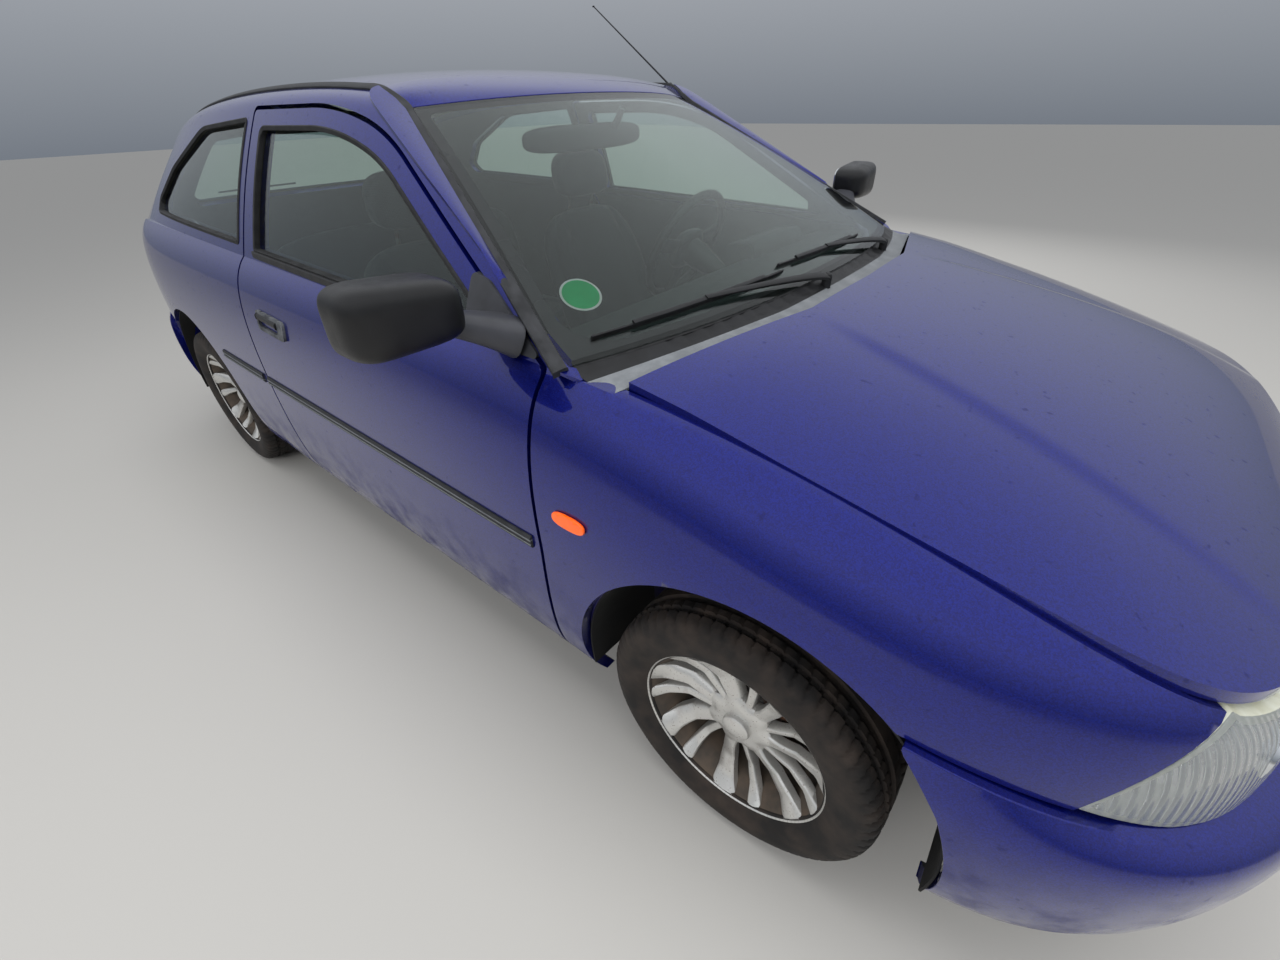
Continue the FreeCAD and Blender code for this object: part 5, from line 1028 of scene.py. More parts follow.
class BodySides(bpy.types.Operator):
    """Body sides, wings and doors with their seals and mouldings"""
    bl_idname = "hatchback.body_sides"
    bl_label = "Body Sides and Doors"

    def execute(self, context):
        for name, side in SIDES:
            ribbon, house = RIBBONS[side], HOUSES[side]
            shell = merged(frame_lower(side), frame_upper(side))
            piece("body_side_" + name, shell, "body", "paint trim paint", "side_frame_" + name, 3.0)
            shell = wing(side)
            piece("wing_skin_" + name, shell, "body", "paint underseal paint",
                  "front_wing_" + name, 3.0)
            shell = door_shell(side)
            piece("door_shell_" + name, shell, "door_" + name, "paint trim paint",
                  "door_" + name, 3.0)
            self.seals(name, side, ribbon, house)
        return {"FINISHED"}

    def seals(self, name, side, ribbon, house):
        """Window rubbers, the belt's weather strip, the side moulding and the strip along the roof's edge."""
        for label, body, outline in (("window", "door_" + name, DOOR_WINDOW), ("quarter", "body", QUARTER)):
            shell = seal_round(house.lift, house.side_line(drawn(outline, 10)), side)
            piece("%s_rubber_%s" % (label, name), shell, body, "rubber", bevel=0.8)
        x = np.linspace(560, DOOR_REAR + 64, 60)
        line = joined(x, 930 + (958 - 930) * (560 - x) / (560 - DOOR_REAR - 66) - 8)
        shell = strip(house.lift, house.side_line(line), bar_profile(20, 5))
        piece("belt_strip_" + name, shell, "door_" + name, "black")
        for label, body, x0, x1 in (("door", "door_" + name, DOOR_FRONT - 14, DOOR_REAR + 14),
                                    ("rear", "body", DOOR_REAR - 22, -900)):
            x = np.linspace(x0, x1, 50)
            line = joined(x, np.interp(x, [-898, 627], [588, 569]))
            bar = strip(ribbon.lift, ribbon.side_line(line), bar_profile(30, 5.5))
            ribs = [strip(ribbon.lift, ribbon.side_line(line + (0, up)), bar_profile(3, 7)) for up in (-6, 5)]
            ribs = [(points, faces, [1] * len(faces)) for points, faces, tags in ribs]
            shell = merged(bar, *ribs)
            piece("side_moulding_%s_%s" % (label, name), shell, body, "moulding scuttle")
        self.pillar(name, side, house)

    def pillar(self, name, side, house):
        """The bar along the windscreen and the roof's edge, with the pillar's paint turned in to meet it."""
        foot, head = (np.array(p) * (1, side, 1) for p in (SCREEN_FOOT, SCREEN_HEAD))
        steep, flat = np.array((0.36, side * 0.42, 0.83)), np.array((0, side * 0.3, 0.95))
        along = foot + (head - foot) * np.linspace(-0.01, 0.97, 9)[:, None] + (0, side * 9, 3)
        outer = house.lift(screen_line(side), 0)
        corner = head * 0.5 + outer[-1] * 0.5 + (0, side * 4, 4)
        turn = np.stack((head + (8, side * 13, 4), corner, outer[-1] + (0, 0, 2)))
        x = np.linspace(outer[-1, 0] - 45, -1368, 20)
        edge = house.lift(joined(x, np.full(20, house.WAY - 4.0)))
        path = smooth_line(np.concatenate((along, turn, edge)), 190)
        out = steep + (flat - steep) * np.interp(-path[:, 0], [-90, 20], [0.0, 1.0])[:, None]
        shell = carried(path + out * 2.5, bar_profile(27, 4.5, 9), out)
        piece("roof_bar_" + name, shell, "body", "moulding", bevel=1.0)
        way = way_along(outer)[:, None]
        inner = foot + (head - foot) * (way / way[-1]) + (0, side * 16, 3)
        across = np.linspace(0, 1, 8)[:, None, None]
        grid = outer[None] + (inner - outer)[None] * across + np.sin(math.pi * across) * (1, side * 1.5, 1.5)
        shell = sheet(grid if side > 0 else grid[::-1], 8)
        piece("pillar_turn_" + name, shell, "body", "paint")
        self.rear_corner(name, side, house)

    def rear_corner(self, name, side, house):
        """The rear pillar's paint, turned round the corner to the tailgate's side."""
        outer = even_line(house.lift(house.side_line(PILLAR_REAR), 0), 44)
        edge = GATE_SIDE[GATE_SIDE[:, 1] > 906][::-1]
        inner = even_line(tail_lift(joined((edge[:, 0] + 12) * side, edge[:, 1]), 1), 44)
        bend = outer + (inner - outer) * (0.78, 0.22, 0.5) + (0, 0, 4)
        t = np.linspace(0, 1, 10)[:, None, None]
        grid = (1 - t) ** 2 * outer + 2 * t * (1 - t) * bend + t * t * inner
        shell = sheet(grid if side < 0 else grid[::-1], 10)
        piece("rear_corner_" + name, shell, "body", "paint")


class Glass(bpy.types.Operator):
    """Windscreen, side windows and the tailgate's window"""
    bl_idname = "hatchback.glass"
    bl_label = "Glass"

    def execute(self, context):
        for name, side in SIDES:
            house = HOUSES[side]
            line = house.side_line(drawn(grown(DOOR_WINDOW, -0.5)))
            shell = plate(house.lift, [line], 26, 12, 16)
            piece("door_pane_" + name, shell, "door_" + name, "glass", "door_glass_" + name)
            shell = plate(house.lift, [house.side_line(drawn(grown(QUARTER, -0.5)))], 26, 12, 16)
            pane = piece("quarter_pane_" + name, shell, "body", "glass")
            if side > 0:
                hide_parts("quarter_glasses")
        u, v = np.meshgrid(np.linspace(0, 1, 40), np.linspace(0, 1, 80), indexing="ij")
        grid = surface(screen_poles(1.0), u.ravel(), v.ravel()).reshape(40, 80, 3)
        shell = sheet(grid, 4)
        piece("windscreen_pane", shell, "body", "glass", "windscreen")
        edge = np.concatenate((grid[0, :], grid[1:, -1], grid[-1, -2::-1], grid[-2:0:-1, 0]))
        inward = grid.mean(axis=(0, 1)) - edge
        inward /= np.linalg.norm(inward, axis=1, keepdims=True)
        shell = carried(edge + inward * 6, bar_profile(18, 2.2, 3), (0.45, 0, 0.89), True)
        piece("windscreen_seal", shell, "body", "rubber")
        self.border()
        shell = plate(gate_lift, [drawn(grown(GATE_WINDOW, -0.5))], 26, 12, 16)
        piece("gate_pane", shell, "tailgate", "glass", "tailgate_glass")
        shell = seal_round(tail_lift, drawn(GATE_WINDOW, 12), -1)
        piece("gate_rubber", shell, "tailgate", "rubber", bevel=0.8)
        return {"FINISHED"}

    def border(self):
        """The band printed round the windscreen, wider at its head and round its lower corners."""
        def lift(places, depth=0.0):
            """A place on the glass is (across, up), in about millimetres."""
            return surface(screen_poles(0.7 - depth), places[:, 1] / 800, places[:, 0] / 1300)

        outer = drawn([(3, 3), (1297, 3), (1297, 797), (3, 797)])
        inner = drawn([(30, 26, 90), (1270, 26, 90), (1262, 766, 20), (38, 766, 20)])
        shell = plate(lift, [outer, inner], 16, 0, -0.3)
        piece("windscreen_border", shell, "body", "border")


def tail_x(y, z, inset):
    """x of the tail's surface at a place, set in by a depth."""
    return tail_lift(joined(y, z), inset)[:, 0]


def gate_top():
    """The tailgate's upper edge, places that follow the roof's surface, and their distance from the hinge."""
    y = np.linspace(480, -480, 50)
    z = np.full(50, 1250.0)
    for _ in range(12):
        x = tail_x(y, z, 0)
        u = np.interp(x, spline_weights(9, FINE) @ HOUSE[:, 0], FINE)
        edge = spline_weights(9, u) @ HOUSE[:, 5]
        v = np.interp(y / edge, ROOF_SPAN, FINE)
        z = np.clip(z * 0.5 + 0.5 * (surface(roof_poles(), u, v)[:, 2] - 3), 1150, 1308)
    return joined(y, z), np.hypot(tail_x(y, z, 0) - GATE_HINGE[0], z - GATE_HINGE[1])


class RoofAndLids(bpy.types.Operator):
    """Roof, bonnet, tailgate and scuttle"""
    bl_idname = "hatchback.roof_and_lids"
    bl_label = "Roof and Lids"

    def execute(self, context):
        self.roof()
        self.bonnet()
        self.gate()
        self.scuttle()
        return {"FINISHED"}

    def roof(self):
        """For each share of the width, a line from the windscreen's head over the roof to its rear edge."""
        columns, rows = 71, 110
        share = np.linspace(-0.994, 0.994, columns)
        half = np.interp(share, ROOF_SPAN, FINE)
        u = np.linspace(0.02, 0.98, 800)
        whole = surface(roof_poles(), np.repeat(u, columns), np.tile(half, len(u))).reshape(len(u), columns, 3)
        head = surface(screen_poles(), np.full(columns, 1.0), np.interp(share, SCREEN_SPAN, FINE))
        gate_line, gate_reach = gate_top()
        grid, slope = np.zeros((rows, columns, 3)), np.array((-0.86, 0.0, 0.51))
        for j in range(columns):
            line = whole[::-1, j]
            start = head[j] + (4, 0, 3)
            ahead = int(np.argmax(start[0] - line[:, 0] > 60 + 130 * (1 - abs(share[j]) ** 6)))
            far = np.hypot(line[:, 0] - GATE_HINGE[0], line[:, 2] - GATE_HINGE[1])
            limit = np.interp(line[:, 1], gate_line[::-1, 0], gate_reach[::-1]) - 12
            rear = int(np.argmax((line[:, 0] < GATE_HINGE[0]) & (far > limit)))
            reach = np.linalg.norm(line[ahead] - start)
            way_back = (line[ahead + 4] - line[ahead]) / np.linalg.norm(line[ahead + 4] - line[ahead])
            t = np.linspace(0, 1, 40)[:-1, None]
            curve = (1 - t) ** 2 * (1 + 2 * t) * start + t * (1 - t) ** 2 * slope * reach * 0.75
            curve += t * t * (3 - 2 * t) * line[ahead] - t * t * (1 - t) * way_back * reach
            path = np.vstack((curve, line[ahead:rear]))
            way = way_along(path)
            sample = way[-1] * np.linspace(0, 1, rows) ** 1.4
            grid[:, j] = np.stack([np.interp(sample, way, path[:, c]) for c in range(3)], axis=1)
        piece("roof_skin", skin_over(grid, 20), "body", "paint headlining paint", "roof_panel", 3.0)

    def bonnet(self):
        """The bonnet's skin, inside the wings' upper edges."""
        x, y, nx, ny, top, top_in, low_in = RIBBON.T
        edge = joined(x + nx * (top_in + SHUT), y + ny * (top_in + SHUT))
        edge = edge[(edge[:, 0] > BONNET_CORNER) & (y > 0)]
        first = np.array([BONNET_CORNER, edge[0, 1] + 2])
        corner = np.vstack((first, edge))
        front = smooth_line(corner, 90)
        side = np.concatenate((front, front[::-1] * (1, -1)))
        rear = divided([first * (1, -1), (BONNET_REAR, -280), (966, 0), (BONNET_REAR, 280), first], 18)
        line = np.concatenate((divided(side, 18), smooth_line(rear, 80)[1:-1]))
        shell = plate(bonnet_lift, [line], 14, 0, 21)
        piece("bonnet_skin", shell, "bonnet", "paint paint_inside paint", "bonnet", 3.0)

    def gate(self):
        """The tailgate's skin with its window's opening, up to the roof's surface."""
        top = gate_top()[0]
        line = np.concatenate((GATE_SIDE, top, GATE_SIDE[::-1] * (-1, 1)))
        shell = plate(gate_lift, [line, drawn(GATE_WINDOW)], 20, 0, 42)
        piece("gate_skin", shell, "tailgate", "paint trim paint", "tailgate", 3.0)
        high = GATE_SIDE[GATE_SIDE[:, 1] > 940]
        outer = np.concatenate((high + (22, 0), top + (0, 14), high[::-1] * (-1, 1) - (22, 0)))
        inner = np.concatenate((high - (24, 0), top * 0.95 + (0, 30), high[::-1] * (-1, 1) + (24, 0)))
        shell = plate(gate_lift, [np.concatenate((outer, inner[::-1]))], 20, 58, 62)
        piece("gate_gutter", shell, "body", "rubber")
        corners = drawn([(262, 696, 8), (262, 806, 8), (-262, 806, 8), (-262, 696, 8)])
        shell = plate(tail_lift, [corners], 30, -3, 1)
        piece("blank_number_plate", shell, "tailgate", "blank_plate", bevel=1.0)

    def scuttle(self):
        """The panel under the windscreen's foot, with its slots pressed in."""
        columns = 121
        across = np.linspace(-0.985, 0.985, columns)
        v = np.interp(across, SCREEN_SPAN, FINE)
        foot = surface(screen_poles(), np.zeros(columns), v)
        reach = np.maximum(0, np.abs(foot[:, 1]) - 280) / 470
        ahead = np.maximum(BONNET_REAR + (BONNET_CORNER - BONNET_REAR) * reach - 12, foot[:, 0] + 24)
        front = joined(ahead, foot[:, 1], foot[:, 2] - 22)
        t = np.linspace(0, 1, 13)[:, None, None]
        grid = foot[None] + (front - foot)[None] * t
        grid[..., 2] -= 7 * np.sin(math.pi * t[..., 0])
        slots = (np.abs(foot[:, 1]) > 90) & (np.abs(foot[:, 1]) < 560) & ((foot[:, 1] // 24) % 2 == 0)
        grid[1:4, slots, 2] -= 4
        points, faces = skin_over(grid, 5)[:2]
        row = np.array([np.mean([i % (len(t) * columns) // columns for i in face]) for face in faces])
        piece("scuttle_panel", (points, faces, row < 5), "body", "scuttle black", "scuttle")


def even_line(points, count):
    """A line's points, evenly along its length."""
    way = way_along(points)
    return np.stack([np.interp(np.linspace(0, way[-1], count), way, points[:, c]) for c in range(3)], axis=1)


def smooth_line(points, count):
    """An even cubic B-spline through the ends of a line of poles."""
    points = np.asarray(points, float)
    if len(points) < 4:
        points = divided(points, np.linalg.norm(points[-1] - points[0]) / 4)
    return spline_weights(len(points), np.linspace(0, 1, count)) @ points


def nose_lift(places, depth=0.0):
    """A place on the nose is (y, z); the ribbon of each side reaches the middle."""
    points = np.zeros((len(places), 3))
    for side in (1, -1):
        mine = (places[:, 0] >= 0) == (side > 0)
        if mine.any():
            ribbon = RIBBONS[side]
            s = ribbon.where(1, np.abs(places[mine, 0]), places[mine, 1], 0.6, 1.0)
            points[mine] = ribbon.lift(joined(s, places[mine, 1]), depth)
    return points


class NoseAndBumpers(bpy.types.Operator):
    """Bumpers, grille and the panel over it"""
    bl_idname = "hatchback.nose_and_bumpers"
    bl_label = "Nose and Bumpers"

    def execute(self, context):
        front, rear = Bumper(FRONT_BUMPER, FRONT_SECTION, 1), Bumper(REAR_BUMPER, REAR_SECTION, -1)
        arch = arc(FRONT_AXLE, -16.6, 48.6)
        arch[:, 1] = np.where(arch[:, 1] > 478, 478 + (arch[:, 1] - 478) * 69 / 100, arch[:, 1])
        places = joined(front.where(arch[:, 0], arch[:, 1]), arch[:, 1])
        half = np.concatenate((divided([(0, 206), (places[0, 0] + 3, 206)], 18), places,
                               divided([(places[-1, 0] - 6, 547.5), (0, 547.5)], 18)))
        loop = np.concatenate((half, half[-2:0:-1] * (-1, 1)))
        openings = [drawn([(425, 266, 26), (425, 292), (-425, 292), (-425, 266, 26)]),
                    drawn([(420, 310), (420, 328), (-420, 328), (-420, 310)]),
                    drawn([(410, 344), (410, 362), (-410, 362), (-410, 344)]),
                    drawn([(400, 378), (385, 396, 10), (-385, 396, 10), (-400, 378)])]
        shell = plate(front.lift, [loop] + openings, 13, 0, 30)
        piece("front_bumper_skin", shell, "body", "paint black paint", "front_bumper", 3.0)
        arch = arc(REAR_AXLE, 197, 156)
        corner = divided([(TAIL + 343, 470), (TAIL + 343, 590), (TAIL + 205, 611)])
        line = np.concatenate((arch[arch[:, 1] > 241], corner))
        places = joined(rear.where(line[:, 0], line[:, 1]), line[:, 1])
        half = np.concatenate((divided([(0, 241), (places[0, 0] - 3, 241)], 18), places,
                               divided([places[-1], (0, 611)], 18)[1:]))
        loop = np.concatenate((half, half[-2:0:-1] * (-1, 1)))
        shell = plate(rear.lift, [loop], 20, 0, 30)
        piece("rear_bumper_skin", shell, "body", "paint black paint", "rear_bumper", 3.0)
        edge = LAMP_INNER - 3
        slots = [drawn([(390, z, 8), (390, z + 22, 8), (-390, z + 22, 8), (-390, z, 8)])
                 for z in (518, 548, 578, 608)]
        face = drawn([(edge, 504), (edge, 639), (-edge, 639), (-edge, 504)])
        shell = plate(nose_lift, [face] + slots, 16, 2, 34)
        piece("grille_bars", shell, "body", "black", "grille", 2.5)
        face = drawn([(edge, 643), (edge, 659.5), (-edge, 659.5), (-edge, 643)], 12)
        shell = plate(nose_lift, [face], 10, 0, 36)
        piece("nose_strip", shell, "body", "paint", "nose_panel", 3.0)
        return {"FINISHED"}


class Lamps(bpy.types.Operator):
    """Headlamps, tail lamps and side repeaters"""
    bl_idname = "hatchback.lamps"
    bl_label = "Lamps"

    def execute(self, context):
        for name, side in SIDES:
            self.front(name, side)
            self.rear(name, side)
            ribbon = RIBBONS[side]
            shape = ring(40, 15, 48, 2.6) + (801, 671)
            flat = ribbon.side_line(shape)
            shell = plate(ribbon.lift, [flat], 5, -7, 0)
            lens = piece("side_repeater_" + name, shell, "body", "amber", bevel=4.0)
            if side > 0:
                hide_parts("side_repeaters")
        return {"FINISHED"}

    def front(self, name, side):
        """Clear fluted glass over a chromed bowl, in a pale frame."""
        ribbon = RIBBONS[side]
        outer = divided([(NOSE - 268, 700), (NOSE - 350, 548), (NOSE - 250, 524), (NOSE - 140, 516)])
        inner_s = ribbon.where(1, [LAMP_INNER + 3] * 2, [514, 660], 0.6, 1.0)
        flat = ribbon.side_line(outer)
        low = divided([flat[-1], (inner_s[0], 514)], 14)[1:]
        s = np.linspace(inner_s[1], flat[0, 0], 24)
        top = joined(s, ribbon.top(s) - 3)
        loop = np.concatenate((flat, low, top[:-1]))
        shell = plate(ribbon.lift, [loop], 14, 1, 4)
        glass = piece("headlamp_glass_" + name, shell, "body", "lamp_glass", bevel=1.2)
        if side > 0:
            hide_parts("headlamps")
        centre = loop.mean(axis=0)
        shrunk = centre + (loop - centre) * (0.955, 0.90)
        shell = plate(ribbon.lift, [loop, shrunk], 12, 2.5, 60)
        piece("headlamp_frame_" + name, shell, "body", "lamp_frame", bevel=1.0)
        shell = plate(ribbon.lift, [loop], 16, 84, 92)
        piece("headlamp_back_" + name, shell, "body", "reflector")
        for share, radius in ((0.36, 62), (0.74, 46)):
            s = flat[0, 0] * (1 - share) + inner_s[1] * share
            z = 524 + (ribbon.top(np.array([s]))[0] - 524) * 0.48
            middle = ribbon.lift(np.array([[s, z]]), 82)[0]
            bowl = [(0, 3), (4, 20), (14, radius * 0.62), (34, radius * 0.9), (56, radius), (58, radius)]
            bowl += [(36, radius * 0.95), (12, radius * 0.68), (0, 22), (-4, 3)]
            shell = turned(bowl, middle, 48, axis=0, closed=True)
            piece("reflector_%d_%s" % (radius, name), shell, "body", "reflector")
            shell = turned([(0, 0.5), (2, 7), (22, 8), (30, 6), (34, 0.5)], middle, 24, axis=0)
            piece("bulb_%d_%s" % (radius, name), shell, "body", "glass")

    def rear(self, name, side):
        """A red lens in one moulding, with an amber band for the turn lamp."""
        ribbon = RIBBONS[side]
        lens = divided([(TAIL + 176, 646), (TAIL + 246, 880), (TAIL + 228, 922)])
        flat = ribbon.side_line(lens)
        inner = ribbon.where(1, [GATE_HALF + SHUT + 3] * 2, [646, 900], 0, 0.4)
        top = divided([flat[-1], ribbon.side_line([(TAIL + 150, 902)])[0], (inner[1], 900)], 14)
        loop = np.concatenate((flat[:-1], top, divided([(inner[1], 900), (inner[0], 646)], 14)[1:]))
        loop = np.concatenate((loop, divided([loop[-1], flat[0]], 14)[1:-1]))
        points, faces = plate(ribbon.lift, [loop], 14, 1, 60)[:2]
        for level in AMBER_BAND:
            points[np.abs(points[:, 2] - level) < 6.2, 2] = level
        heights = np.array([points[f, 2].mean() for f in faces])
        shell = points, faces, (heights > AMBER_BAND[0]) & (heights < AMBER_BAND[1])
        lens = piece("tail_lamp_" + name, shell, "body", "red amber", bevel=2.0)
        if side > 0:
            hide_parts("tail_lamps")


# Wheels


def rim_shell(place, side):
    """A cast wheel: barrel, seven wide and seven narrow swept spokes, a lobed hub and its cap."""
    def swing(shell):
        """A shell moved to its place, and mirrored on the right."""
        points, faces, tags = shell
        points = points * (1, side, 1) + np.array(place)
        return points, outward(points, faces), tags

    barrel = [(-79, 196), (-76, 196), (-68, 186), (-44, 176), (39, 176), (64, 187), (74, 196),
              (79, 195.5), (80, 193), (77, 190), (60, 182), (38, 170), (-40, 168), (-66, 180), (-79, 187)]
    points, faces, tags = turned(barrel, (0, 0, 0), 120, closed=True)
    middle = np.array([points[face].mean(axis=0) for face in faces])
    # Faces inside the barrel, behind the spokes, take a dark brown finish: brake dust and painted shade.
    barrel_inside_dust_and_shade = (np.hypot(middle[:, 0], middle[:, 2]) < 187) & (middle[:, 1] < 72)
    shells = [(points, faces, np.where(barrel_inside_dust_and_shade, 2, 0))]
    angle = np.linspace(0, 2 * math.pi, 168, endpoint=False)
    lobe = 1 + 0.09 * np.cos(7 * angle)
    levels = [(8, 66), (20, 72), (33, 70), (40, 60), (42, 44), (42, 31)]
    lobed = [(y, r * (lobe if r > 40 else 1)) for y, r in levels]
    points = np.concatenate([joined(r * np.cos(angle), np.full(168, y), r * np.sin(angle)) for y, r in lobed])
    faces = net_faces(len(levels), 168, False, True)
    faces += [list(range(168)), list(range((len(levels) - 1) * 168, len(levels) * 168))[::-1]]
    shells.append((points, outward(points, faces), [0] * len(faces)))
    cap = [(36, 0.5), (36, 30), (46, 30), (52, 28), (56, 20), (58, 8), (58.5, 0.5)]
    shells.append(turned(cap, (0, 0, 0), 56))
    for k in range(14):
        wide = k % 2 == 0
        start, lead = k * 360 / 14, 13 if wide else 9
        r = np.linspace(44, 187, 20)
        way = np.radians(start + lead * ((r - 44) / 143) ** 1.2)
        half = np.interp(r, [44, 80, 130, 165, 187], [18, 15, 18, 22, 28] if wide else [9, 8, 9.5, 12, 16])
        crest = np.interp(r, [44, 70, 120, 160, 187], [38, 37, 38, 53, 75] if wide else [35, 33, 33, 49, 73])
        tilt = (6 if wide else 3) * np.interp(r, [44, 90, 160, 187], [0, 1, 1, 0])
        depth = np.interp(r, [44, 187], [26, 24])
        profile = np.array([
            (-1, -0.9), (-1, -0.2), (-0.78, -0.02), (0, 0.06), (0.78, -0.02), (1, -0.2), (1, -0.9), (0, -1),
        ])
        across = profile[None, :, 0] * half[:, None]
        out = crest[:, None] + profile[None, :, 1] * depth[:, None] + across / half[:, None] * tilt[:, None]
        x = r[:, None] * np.cos(way)[:, None] - across * np.sin(way)[:, None]
        z = r[:, None] * np.sin(way)[:, None] + across * np.cos(way)[:, None]
        points = joined(x, out, z).reshape(-1, 3)
        faces = net_faces(len(r), 8, False, True)
        faces += [list(range(8))[::-1], [(len(r) - 1) * 8 + i for i in range(8)]]
        shells.append((points, outward(points, faces), [0] * len(faces)))
    disc = [(-25, 16), (-25, 120), (-20, 121), (-12, 121), (-7, 120), (-7, 66), (6, 64), (8, 40), (8, 16)]
    shells.append(turned(disc, (0, 0, 0), 72, closed=True, tag=1))
    return merged(*[swing(shell) for shell in shells])


def tyre_shell(place):
    """A tyre: a section turned round the axle, with four grooves and slanting cuts pressed into its tread."""
    section = np.array([
        (-74, 187), (-79, 192), (-84, 200), (-91, 214), (-95, 232), (-95.5, 246), (-92, 260),
        (-87, 270), (-80, 277), (-70, 280.5), (-60, 282), (-54, 282.6), (-53, 282.7), (-46, 283),
        (-45, 283), (-32, 283.4), (-22, 283.6), (-21, 283.6), (-14, 283.8), (-13, 283.8), (0, 284),
    ])
    section = np.concatenate((section, section[-2::-1] * (-1, 1)))
    steps = TREAD_PITCHES * 6
    angle = np.linspace(0, 2 * math.pi, steps, endpoint=False)
    y, r = section[:, 0][None], section[:, 1][None]
    groove = np.zeros(section.shape[0])
    for near, far in ((-54, -46), (-22, -14), (14, 22), (46, 54)):
        groove[(section[:, 0] >= near) & (section[:, 0] <= far)] = 7.0
    slant = angle[:, None] * TREAD_PITCHES / (2 * math.pi) + np.abs(y) / 95 * 1.1
    cut = ((slant % 1) < 0.17) & (np.abs(y) < 90) & (np.abs(y) > 24) & (r > 268)
    radius = r - groove[None] - 5.0 * cut
    middle = angle[:, None] * TREAD_PITCHES / (4 * math.pi)
    radius = radius - 2.5 * (((middle % 1) < 0.10) & (np.abs(y) < 12))
    points = joined(radius * np.cos(angle)[:, None], np.broadcast_to(y, radius.shape),
                    radius * np.sin(angle)[:, None])
    points = points.reshape(-1, 3) + np.array(place)
    faces = net_faces(steps, len(section), True, True)
    return points, outward(points, faces), [0] * len(faces)


class Wheels(bpy.types.Operator):
    """Rims with swept spokes, and treaded tyres"""
    bl_idname = "hatchback.wheels"
    bl_label = "Wheels"

    def execute(self, context):
        for end, x in (("front", FRONT_AXLE), ("rear", REAR_AXLE)):
            for name, side in SIDES:
                label, place = "%s_%s" % (end, name), (x, side * HALF_TRACK, AXLE_Z)
                shell = rim_shell(place, side)
                piece("rim_" + label, shell, "wheel_" + label, "alloy disc barrel", "wheel_" + label,
                      1.2, angle=35)
                shell = tyre_shell(place)
                piece("tread_" + label, shell, "wheel_" + label, "tyre", "tyre_" + label)
            for name, side in SIDES:
                self.liner(end, x, name, side)
        return {"FINISHED"}

    def liner(self, end, x, name, side):
        """A moulded liner over a wheel, inside the opening's edge."""
        angle = np.radians(np.linspace(-10, 190, 60))
        y = side * np.linspace(812, 600, 8)
        radius = 351.0 - 6 * np.linspace(0, 1, 8)
        grid = joined(x + ARCH_X + radius[:, None] * np.cos(angle)[None, :], y[:, None],
                      ARCH_Z + radius[:, None] * np.sin(angle)[None, :])
        shell = sheet(grid if side > 0 else grid[::-1], 4)
        piece("wheel_liner_%s_%s" % (end, name), shell, "body", "liner")


# Fittings on the outside


def mirror_shell(side):
    """A mirror housing: a rounded shell, blunt behind with the glass and full in front."""
    def shape(grid):
        """Blunt behind, and taller towards its outer end."""
        x, y, z = grid[..., 0], grid[..., 1], grid[..., 2]
        outer = np.clip(y * side / 97, -1, 1)
        x = np.where(x > 0, x * (1 - 0.12 * outer), x * 0.34)
        z = z * (1 + 0.10 * outer) + 3 * outer
        return joined(x, y, z)
    return pillow((535, side * 925, 1018), (80, 97, 54), 4.4, 40, 72, shape)


